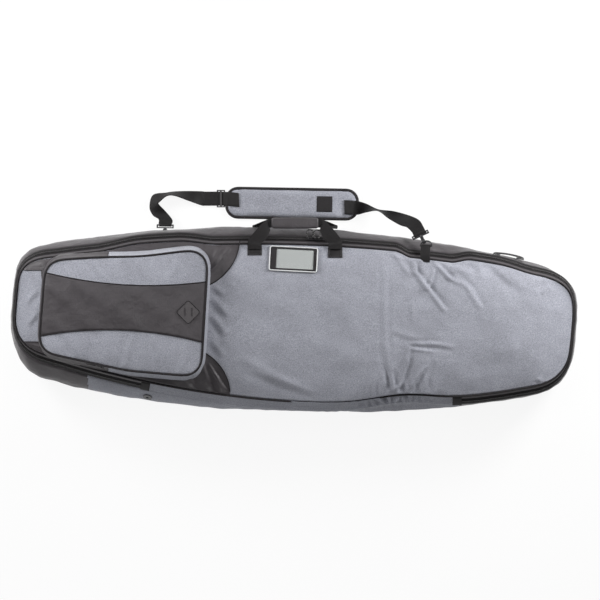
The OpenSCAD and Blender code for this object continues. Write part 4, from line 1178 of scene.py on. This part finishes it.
class BAG_OT_pocket(bpy.types.Operator):
    """Sews the boot pocket: walls, zip, and a grey face with a dark band across it"""

    bl_idname = "bag.pocket"
    bl_label = "Boot pocket"

    def execute(self, context):
        rim = Rim(*FACE_NODES, shift=sagged)
        self.walls(rim)
        self.face(rim)
        return {"FINISHED"}

    def walls(self, rim):
        """Raises the walls from the lid's cloth, with the zip between the left end's wall and the flap's."""
        lid = surface(bpy.data.objects["lid_cloth"].data)
        low, high = rim.along(FOLD_X, False), rim.along(FOLD_X, True)
        high = high if high > low else high + rim.length

        def wall(top, flare, power):
            """A way to lay a wall up to a height, with a flared foot."""

            def place(p, n, w):
                out = 0.8 + (flare + 6 * n.y * n.y) * (1 - w) ** power
                out += 1.6 * noise.noise(p.to_3d() / 0.03) * math.sin(math.pi * w)
                spot = p + n * out * MM
                foot = height_on(lid, spot.x, spot.y) - MM
                return Vector((spot.x, spot.y, foot + (top * MM - foot) * w))

            return place

        grey, dark = (heather_polyester(), "grey_cloth"), (ripstop_polyester(), "dark_cloth")
        left_end = (high, low + rim.length)
        for name, stretch, rows, place, (cloth, slot), body, node in (
            ("pocket_wall", (low, high), 8, wall(WALL_TOP, 9.5, 1.3), grey, "lid", "pocket_gusset"),
            ("pocket_zip_wall", left_end, 6, wall(ZIP_WALL_TOP, 10, 1.8), dark, "lid", "pocket_zip_gusset"),
            ("flap_wall", left_end, 4, profile(FLAP_SIDE), dark, "pocket_flap", "flap_gusset"),
        ):
            made = sleeve(name, rim, *stretch, rows, place, [cloth])
            finish_piece(thicken(made, 1.4 * MM), body, slot, node)
        for name, side, body in (("pocket_zip_teeth", -1, "lid"), ("flap_zip_teeth", 1, "pocket_flap")):
            start, end = left_end[0] + 3 * MM, left_end[1] - 3 * MM
            finish_piece(zip_teeth(name, rim, start, end, 0.6 * MM, POCKET_ZIP_Z * MM, 0, side), body, "zip")

    def face(self, rim):
        """Lays the grey face, its dark band with a bead along each edge, and the bound seam round it."""
        tree = surface(*[node_mesh(n) for n in FACE_NODES])

        def place(u, w):
            a, b = rim.column(u, *POCKET_LEANS)
            p = a.lerp(b, w)
            return on_top(tree, p.x, p.y)

        bm = grid(96, 60, place, FACE)
        relax(bm, 8)
        for v in bm.verts:
            if not v.is_boundary:
                x, y = v.co.x / MM, v.co.y / MM
                low, high = rim.cut(v.co.x)
                left, right = rim.cut(v.co.y, 1)
                hem = ease(min(v.co.y - low, high - v.co.y, v.co.x - left, right - v.co.x) / 0.014)
                lift = creased(x, y, POCKET_CREASES) + 1.5 * rumple(x, y, 80, 8.8) + 0.6 * rumple(x, y, 30, 6.1)
                hem *= ease(((Vector((x, y)) - LASH_TAB).length - 30) / 24)
                v.co.z += lift * hem * MM * sizes().slack
        face = thicken(piece("pocket_face", bm, heather_polyester()), 1.4 * MM)
        across_fold(
            face, "grey_cloth", "pocket_upper_panel", "pocket_lower_panel", "flap_upper_panel", "flap_lower_panel"
        )
        top = surface(face.data)

        def lay(u, w):
            # From a first guess of x to the rim's own ends at the band's height there
            x = -0.665 + 0.43 * u
            for _ in range(2):
                y = band_low(x) + (band_top(x) - band_low(x)) * w
                left, right = rim.cut(y, 1)
                x = left + 1.2 * MM + (right - left - 2.4 * MM) * u
            return on_top(top, x, y, 1.2 * MM)

        band = thicken(piece("pocket_face_band", grid(90, 26, lay, BAND), ripstop_polyester()), 1.0 * MM)
        across_fold(band, "dark_cloth", "pocket_band", "flap_band")
        for name, w in (("band_top_bead", 1), ("band_low_bead", 0)):
            line = [lay(k / 120, w) + UP * 0.2 * MM for k in range(121)]
            across_fold(tube(name, line, 1.3 * MM, binding_tape()), "piping")
        diamond = rounded_box(LASH_SIDE, LASH_SIDE, LASH_CORNER)
        mould = laid_round(diamond, LASH_TAB, 45, surface(node_mesh("lash_tab")))
        finish_piece(tube("lash_tab_edge", mould, 0.9 * MM, binding_tape(), True), "lid", "piping")
        line = rim.beside(300, 0.8 * MM, lambda p: POCKET_SEAM_Z)
        bead = tube("pocket_seam", line, 3.0 * MM, binding_tape(), True)
        across_fold(bead, "piping", "pocket_piping", "flap_piping")


# The card frame's middle, turn in degrees, and the size and corner radius of its pale edge, in millimetres
CARD_MIDDLE, CARD_TURN, CARD_EDGE = Vector((-4, 151.5)), -3, (125, 63, 5)


class BAG_OT_card_window(bpy.types.Operator):
    """Frames the card window in dark tape with a pale bound edge"""

    bl_idname = "bag.card_window"
    bl_label = "Card window"

    def execute(self, context):
        made = softened("card_frame", "card_surround", binding_tape(), 0.4 * MM)
        finish_piece(made, "lid", "dark_cloth")
        top = surface(node_mesh("card_frame"))
        line = laid_round(rounded_box(*CARD_EDGE), CARD_MIDDLE, CARD_TURN, top, 0.6 * MM)
        finish_piece(tube("card_edge", line, 1.6 * MM, pale_binding(), True), "lid", "piping")
        return {"FINISHED"}


# Handles and strap

# Left halves of the handles, in millimetres: middle and half width of the webbing
CARRY_FRONT = [
    ((-106, 178, 195), (18, 0, 0)), ((-106, 190, 194.5), (18.5, -1, 0)), ((-105, 198, 192.4), (18, -3, 0)),
    ((-92, 212.7, 188.6), (17, -8, 0)), ((-73.5, 238.5, 183), (8, -12, 0)), ((-57.5, 246.5, 180), (0, -11, 0)),
]
CARRY_BACK = [
    ((-94, 230.5, 60), (19, 1, 0)), ((-94, 234.5, 98), (19, 1, 0)), ((-88, 241.5, 132), (17, -2, 0)),
    ((-69.5, 246.5, 162.6), (7, -8, 0)), ((-51.5, 246.5, 168.6), (0, -9, 0)), ((-43.5, 246.5, 168.6), (0, -9, 0)),
]
GRAB_ARCH = [((-32, 0, 0), (9, 0, 0)), ((-26, 14.4, 0), (8, -5, 0)), ((-8, 24, 0), (3, -9, 0))]
# The grab handle's place, and its turn about Z and X in degrees
GRAB_AT, GRAB_TURN = Vector((564.7, 161.0, 152)), (-9.64, -80)


class BAG_OT_handles(bpy.types.Operator):
    """Makes the carry handle with its wrap, the back handle and the end grab handle"""

    bl_idname = "bag.handles"
    bl_label = "Handles"

    def execute(self, context):
        web = nylon_webbing()
        patches = softened("handle_patches", "handle_sewn_ends", sewn_webbing())
        finish_piece(patches, "lid", "black_webbing")
        top = surface(node_mesh("handle_patches"))
        rows = []
        for side in (-1, 1):
            for inset in (4, 8):
                box = rounded_box(38 - inset, 27 - inset, 2)
                rows.append(laid_round(box, Vector((side * 106, 171.6 - side * 2.9)), 0, top))
        stitches("handle_stitching", rows, "lid")
        made = ribbon("carry_webbing", mirrored(CARRY_FRONT), web, steps=6)
        finish_piece(made, "carry_handle", "black_webbing", "carry_handle")
        self.wrap()
        wall, back = surface(node_mesh("base_gusset")), []
        for (x, y, z), half in CARRY_BACK:
            if len(back) < 2:
                hit = wall.ray_cast(Vector((x * MM, 0.4, z * MM)), Vector((0, -1, 0)))[0]
                y = hit.y / MM + 4.2
            back.append(((x, y, z), half))
        made = ribbon("back_webbing", mirrored(back), web, steps=6)
        finish_piece(made, "base", "black_webbing", "back_handle")
        self.grab(web)
        return {"FINISHED"}

    def wrap(self):
        """Wraps a rounded, padded grip round the front handle, with a ring of stitches near each end."""
        low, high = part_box("grip_wrap")
        mid = (low + high) / 2
        half = (high - low) / 2

        def place(u, w):
            a = math.tau * u
            end = min(w, 1 - w) * 2 * half.x
            full = 0.82 + 0.18 * math.sin(math.pi / 2 * min(1, end / 0.006)) + 0.05 * math.sin(math.pi * w)
            c, s = math.cos(a), math.sin(a)
            y = half.y * math.copysign(abs(c) ** 0.6, c) * full
            z = half.z * math.copysign(abs(s) ** 0.6, s) * full
            puff = 1 + 0.03 * noise.noise(Vector((w * 14, c * 2, s * 2)))
            return Vector((low.x + 2 * half.x * w, mid.y + y * puff, mid.z + z * puff))

        bm = grid(48, 60, place, (0.09, 2 * half.x), True)
        bmesh.ops.holes_fill(bm, edges=[e for e in bm.edges if e.is_boundary])
        bmesh.ops.recalc_face_normals(bm, faces=bm.faces)
        made = piece("grip_padding", bm, ripstop_polyester())
        finish_piece(made, "carry_handle", "dark_cloth", "grip_wrap")
        rings = []
        for x in (low.x + 5 * MM, high.x - 5 * MM):
            w = (x - low.x) / (2 * half.x)
            rings.append([place(k / 40, w) for k in range(41)])
        stitches("grip_stitching", rings, "carry_handle")

    def grab(self, web):
        """Bends the grab handle's loop between its sewn ends."""
        about_z, about_x = (math.radians(a) for a in GRAB_TURN)
        spin = Matrix.Rotation(about_z, 3, "Z") @ Matrix.Rotation(about_x, 3, "X")
        turned = [(GRAB_AT + spin @ Vector(m), spin @ Vector(h)) for m, h in mirrored(GRAB_ARCH)]
        finish_piece(ribbon("grab_webbing", turned, web), "grab_handle", "black_webbing", "grab_handle")
        finish_piece(softened("grab_handle_tabs", "grab_sewn_ends", sewn_webbing()), "base", "black_webbing")


# The strap's swing axis, the bars of its two rings, and the hooks' bars beyond them, in millimetres
STRAP_AXIS = Vector((0.970435, -0.0227806, 0.240285))
LEFT_BAR = Vector((-349.163, 202.431, 12))
RIGHT_BAR = Vector((345.492, 186.125, 184))
HOOK_BAR, HOOK_TURN_R, HOOK_REACH = 42.5, 3.3, 45.8
# How far the right hook swings aside and down
RIGHT_TILT = math.radians(30)
# Half the webbing's width, and of its narrowed turns round the hooks
HALF_WEB, HALF_TURN = 19, 17
# Runs of the webbing between the hooks and the pad: middle in millimetres, and the way across it
LEFT_RUN = (
    ((-364, 276, 11), (0.93, 0.25, 0.25)), ((-378, 297, 16), (0.66, 0.2, 0.72)), ((-372, 316, 18), (0.5, -0.5, 0.72)),
    ((-345, 327, 20), (0.1, -0.25, 0.96)), ((-322, 329, 19), (0, -0.32, 0.94)), ((-285, 323, 15), (0, -0.7, 0.72)),
    ((-252, 317, 6), (0, -1, 0)), ((-240, 316, 6), (0, -1, 0)), ((-202, 316, 6), (0, -1, 0)),
    ((-182, 315, 10), (0.02, -1, 0)), ((-168, 314, 15.2), (0.03, -1, 0)), ((-150, 312, 15.6), (0.03, -1, 0)),
)
RIGHT_RUN = (
    ((132, 293, 15.6), (0.03, -1, 0)), ((154, 292, 15), (0.03, -1, 0)), ((170, 291, 14), (0.02, -0.93, -0.35)),
    ((192, 290, 22), (0, -0.55, -0.83)), ((223, 284, 36), (-0.02, -0.06, -1)), ((256, 271, 66), (-0.3, -0.5, -0.8)),
    ((290, 256, 110), (-0.62, -0.68, -0.38)), ((312, 246, 139), (-0.86, -0.5, -0.08)),
)
# The pad's turn and middle, its outline, its two cross seams and its patch, in millimetres along it
PAD_TURN = Matrix.Rotation(math.radians(-1), 3, "Z")
PAD_AT = Vector((-8, 302.5, 0))
PAD_OUTLINE = (350, 77, 30)
PAD_SEAMS = (-144, 140)
PATCH_X, PATCH_SIDE = 66, 42


def square_to_axis(v):
    """The part of a direction that is square to the strap's axis."""
    return (v - v.dot(STRAP_AXIS) * STRAP_AXIS).normalized()


def across_run(run):
    """The stations of a run of webbing."""
    return [(m, Vector(way) * HALF_WEB) for m, way in run]


class BAG_OT_strap(bpy.types.Operator):
    """Runs the shoulder strap from ring to ring, with its pad"""

    bl_idname = "bag.strap"
    bl_label = "Shoulder strap"

    def execute(self, context):
        web = nylon_webbing()
        left_way = square_to_axis(Vector((0, 1, 0)))
        right_y = square_to_axis(Vector((0, math.cos(RIGHT_TILT), -math.sin(RIGHT_TILT))))
        right_way = math.cos(RIGHT_TILT) * right_y - math.sin(RIGHT_TILT) * STRAP_AXIS
        right_across = math.cos(RIGHT_TILT) * STRAP_AXIS + math.sin(RIGHT_TILT) * right_y
        left = [(LEFT_BAR + (HOOK_REACH + more) * left_way, STRAP_AXIS * HALF_WEB) for more in (0, 12)]
        left += across_run(LEFT_RUN)
        right = across_run(RIGHT_RUN)
        right += [(RIGHT_BAR + (HOOK_REACH + more) * right_way, -right_across * HALF_TURN) for more in (12, 6, 0)]
        finish_piece(ribbon("left_webbing", left, web), "shoulder_strap", "black_webbing", "strap_left")
        finish_piece(ribbon("right_webbing", right, web), "shoulder_strap", "black_webbing", "strap_right")
        for name, bar, way, across in (
            ("left_hook_turn", LEFT_BAR, left_way, STRAP_AXIS), ("right_hook_turn", RIGHT_BAR, right_way, right_across),
        ):
            middle = bar + HOOK_BAR * way
            lift = across.cross(way)
            turn = [
                (middle + HOOK_TURN_R * (math.cos(a) * way + math.sin(a) * lift), across * HALF_TURN)
                for a in (math.tau * k / 24 for k in range(25))
            ]
            finish_piece(ribbon(name, turn, web, 1.6 * MM, steps=1), "shoulder_strap", "black_webbing")
        self.pad()
        for node, name, body in (
            ("left_ring_tab", "left_ring_web", "base"), ("right_ring_tab", "right_ring_web", "lid"),
        ):
            finish_piece(softened(node, name, sewn_webbing()), body, "black_webbing")
        return {"FINISHED"}

    def pad(self):
        """Fills the shoulder pad, seams it across, binds its edge and sews a blank patch on."""
        bm = bmesh.new()
        bm.from_mesh(node_mesh("shoulder_pad"))
        bmesh.ops.remove_doubles(bm, verts=bm.verts, dist=0.01 * MM)
        bmesh.ops.recalc_face_normals(bm, faces=bm.faces)
        made = piece("strap_pad", bm, heather_polyester())
        inflate(made, 5 * MM, 4, 4 * MM)
        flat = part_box("shoulder_pad")[1].z
        for v in made.data.vertices:
            local = PAD_TURN.inverted() @ (v.co / MM - PAD_AT)
            if v.co.z > 6 * MM:
                for seam in PAD_SEAMS:
                    v.co.z -= 2.5 * MM * bell(local.x, seam, 5)
            under_web = flat + 5 * MM * ease((128 - abs(local.x)) / 20)
            v.co.z = min(max(v.co.z, 0.2 * MM), under_web)
        soft = made.modifiers.new("Soft", "SUBSURF")
        soft.levels = soft.render_levels = 1
        finish_piece(made, "shoulder_strap", "grey_cloth", "shoulder_pad")
        line = [(PAD_AT + PAD_TURN @ p.to_3d()) * MM + UP * 6.2 * MM for p in rounded_box(*PAD_OUTLINE)]
        bound = tube("pad_edge", line, 4.6 * MM, binding_tape(), True)
        finish_piece(bound, "shoulder_strap", "piping", "pad_binding")
        tree = surface(made.data)

        def label(u, w):
            spot = PAD_AT + PAD_TURN @ Vector((PATCH_X + PATCH_SIDE * u, PATCH_SIDE * (w - 0.5), 0))
            return on_top(tree, spot.x * MM, spot.y * MM, 0.6 * MM)

        patch = piece("pad_patch", grid(12, 12, label, (PATCH_SIDE * MM, PATCH_SIDE * MM)), binding_tape())
        finish_piece(thicken(patch, 0.8 * MM), "shoulder_strap", "black_webbing")


# Zip pulls, hardware and stage

# The bails that the loops of cord hang on, in millimetres, and how steeply the main zip's loops fall
MAIN_PULLS = {"left_zip_pull": (39.3, 208.2, 175), "right_zip_pull": (58.3, 207.5, 175)}
PULL_FALL = math.radians(53)
POCKET_PULL, POCKET_PULL_WAY = Vector((-505.3, -132.4, 226)), Vector((-0.9772, 0.2124, 0))
# Half width and length of the loops, the cords' thickness, and half the gap at the bail
MAIN_LOOP, MAIN_CORD = (8, 36), 3.6
POCKET_LOOP, POCKET_CORD = (4, 44), 2.0
BAIL_GAP = 2.2


def pull_loop(half, long):
    """A loop of cord in its own plane, in millimetres: it starts and ends at the slider's bail."""
    run = long - 2 * half

    def arc(start, end, middle):
        angles = (start + (end - start) * k / 7 for k in range(8))
        return [Vector((half * math.cos(a), middle + half * math.sin(a), 0)) for a in angles]

    side = [Vector((half, half + run * k / 5, 0)) for k in range(1, 5)]
    first = arc(math.asin(BAIL_GAP / half) - math.pi / 2, 0, half) + side + arc(0, math.pi / 2, half + run)
    return first + [Vector((-p.x, p.y, 0)) for p in reversed(first[:-1])]


class BAG_OT_zip_pulls(bpy.types.Operator):
    """Hangs a loop of cord on each zip slider"""

    bl_idname = "bag.zip_pulls"
    bl_label = "Zip pulls"

    def execute(self, context):
        x = Vector((1, -0.04, 0)).normalized()
        y = UP.cross(x) * math.cos(PULL_FALL) - UP * math.sin(PULL_FALL)
        for node, spot in MAIN_PULLS.items():
            self.hang(node, Vector(spot), x, y, pull_loop(*MAIN_LOOP), MAIN_CORD)
        self.hang("pocket_pull", POCKET_PULL, UP, POCKET_PULL_WAY, pull_loop(*POCKET_LOOP), POCKET_CORD)
        return {"FINISHED"}

    def hang(self, node, spot, x, y, loop, thick):
        """Hangs a loop at a slider's bail, in the plane of two directions."""
        points = [(spot + x * p.x + y * p.y) * MM for p in loop]
        curve = round_curve(node + "_cord", points, thick / 2 * MM, 4)
        curve.materials.append(braided_cord())
        cord = linked(node + "_cord", curve)
        long = sum((b - a).length for a, b in zip(points, points[1:]))
        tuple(points[0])
        finish_piece(cord, node, "cord", node)


class BAG_OT_hardware(bpy.types.Operator):
    """Gives the rings, hooks, sliders, eyelet, lash tab and card their finishes"""

    bl_idname = "bag.hardware"
    bl_label = "Hardware finishes"

    def execute(self, context):
        finishes = {
            painted_zinc(): (
                "d_rings", "snap_hooks", "left_gate", "right_gate", "left_slider", "right_slider", "pocket_slider",
                "drain_grommet",
            ),
            acetal(): ("tri_glide",),
            moulded_rubber(): ("lash_tab",),
            plain_card(): ("card",),
            clear_vinyl(): ("card_window",),
        }
        for material, nodes in finishes.items():
            for node in nodes:
                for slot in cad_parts[node].material_slots:
                    slot.material = material
        return {"FINISHED"}


# The camera's place, its sensor in millimetres, and the width of view at a distance from it
CAMERA_AT, SENSOR, VIEW_WIDTH, VIEW_FROM = (0.0133, 0.0439, 9.595), 36, 1.596, 9.5
# The lamps, all turned to one point: place, size and power
LAMPS_TO = Vector((0, 0, 0.1))
LAMPS = {
    "key": ((0, 0.4, 2), (1.4, 0.7), 8),
    "right": ((1.4, 0.8, 0.85), (0.5, 0.8), 34),
    "left": ((-1.5, 0.8, 0.85), (0.5, 0.8), 28),
    "front": ((-0.9, -2.2, 0.6), (1.2, 0.5), 10),
}
# The light from all round, and how white the floor looks to the camera
AMBIENT, FLOOR_GLOW = 0.16, 0.9
WHITE = (1, 1, 1, 1)


class BAG_OT_stage(bpy.types.Operator):
    """Sets the camera straight above, a pale floor and soft studio light"""

    bl_idname = "bag.stage"
    bl_label = "Stage"

    def execute(self, context):
        scene = bpy.context.scene
        scene.view_settings.view_transform = "Standard"
        lens = bpy.data.cameras.new("camera")
        lens.sensor_width = SENSOR
        lens.lens = SENSOR * VIEW_FROM / VIEW_WIDTH
        lens.clip_end = 50
        scene.camera = linked("camera", lens)
        scene.camera.location = CAMERA_AT
        self.floor()
        self.lights()
        return {"FINISHED"}

    def floor(self):
        """Lays a floor that looks white, and takes the bag's shadow."""
        bm = bmesh.new()
        bmesh.ops.create_grid(bm, x_segments=2, y_segments=2, size=8)
        for v in bm.verts:
            v.co.z = -0.5 * MM
        material, tree, shader = blank("studio floor", 0.9)
        shader.inputs["Base Color"].default_value = colours().floor
        rays = add(tree, "LightPath")
        seen = joined(tree, "MAXIMUM", rays.outputs["Is Camera Ray"], rays.outputs["Is Glossy Ray"])
        seen = joined(tree, "MAXIMUM", seen, rays.outputs["Is Transmission Ray"])
        share = joined(tree, "MULTIPLY", seen, FLOOR_GLOW)
        white = add(tree, "Emission", {"Color": WHITE, "Strength": 1.0})
        mixed = add(tree, "MixShader", links={0: share, 1: shader.outputs["BSDF"], 2: white.outputs["Emission"]})
        tree.links.new(mixed.outputs["Shader"], tree.nodes["Material Output"].inputs["Surface"])
        piece("floor", bm, material)

    def lights(self):
        """Lights the bag from all round and with soft lamps."""
        world = bpy.data.worlds.new("studio")
        bpy.context.scene.world = world
        world.use_nodes = True
        sky = world.node_tree.nodes["Background"].inputs
        sky["Color"].default_value, sky["Strength"].default_value = WHITE, AMBIENT
        for name, (spot, size, power) in LAMPS.items():
            lamp = bpy.data.lights.new(name, "AREA")
            lamp.shape = "RECTANGLE"
            lamp.size, lamp.size_y = size
            lamp.energy = power
            made = linked(name, lamp)
            made.location = spot
            made.rotation_euler = (LAMPS_TO - made.location).to_track_quat("-Z", "Y").to_euler()


OPERATORS = (
    BAG_OT_stage, BAG_OT_zip_pulls, BAG_OT_lid_cloth, BAG_OT_lid_edge, BAG_OT_base, BAG_OT_linings, BAG_OT_pocket,
    BAG_OT_card_window, BAG_OT_handles, BAG_OT_strap, BAG_OT_hardware,
)


class BAG_PT_panel(bpy.types.Panel):
    """Lists the pieces of the bag"""

    bl_idname = "BAG_PT_panel"
    bl_label = "Board Bag"
    bl_space_type = "VIEW_3D"
    bl_region_type = "UI"
    bl_category = "Bag"

    def draw(self, context):
        for group in (context.scene.bag_sizes, context.scene.bag_colours):
            box = self.layout.box()
            for name in group.__annotations__:
                box.prop(group, name)
        for operator in OPERATORS:
            self.layout.operator(operator.bl_idname)


CLASSES = (BagSizes, BagColours, *OPERATORS, BAG_PT_panel)


def register():
    """Adds the panel, its settings and its operators to Blender."""
    for cls in CLASSES:
        bpy.utils.register_class(cls)
    bpy.types.Scene.bag_sizes = bpy.props.PointerProperty(type=BagSizes)
    bpy.types.Scene.bag_colours = bpy.props.PointerProperty(type=BagColours)


def unregister():
    """Takes them out again."""
    del bpy.types.Scene.bag_colours
    del bpy.types.Scene.bag_sizes
    for cls in reversed(CLASSES):
        bpy.utils.unregister_class(cls)


def main():
    """Builds the stage and every piece."""
    register()
    for operator in OPERATORS:
        group, name = operator.bl_idname.split(".")
        getattr(getattr(bpy.ops, group), name)()


if __name__ == "__main__":
    main()
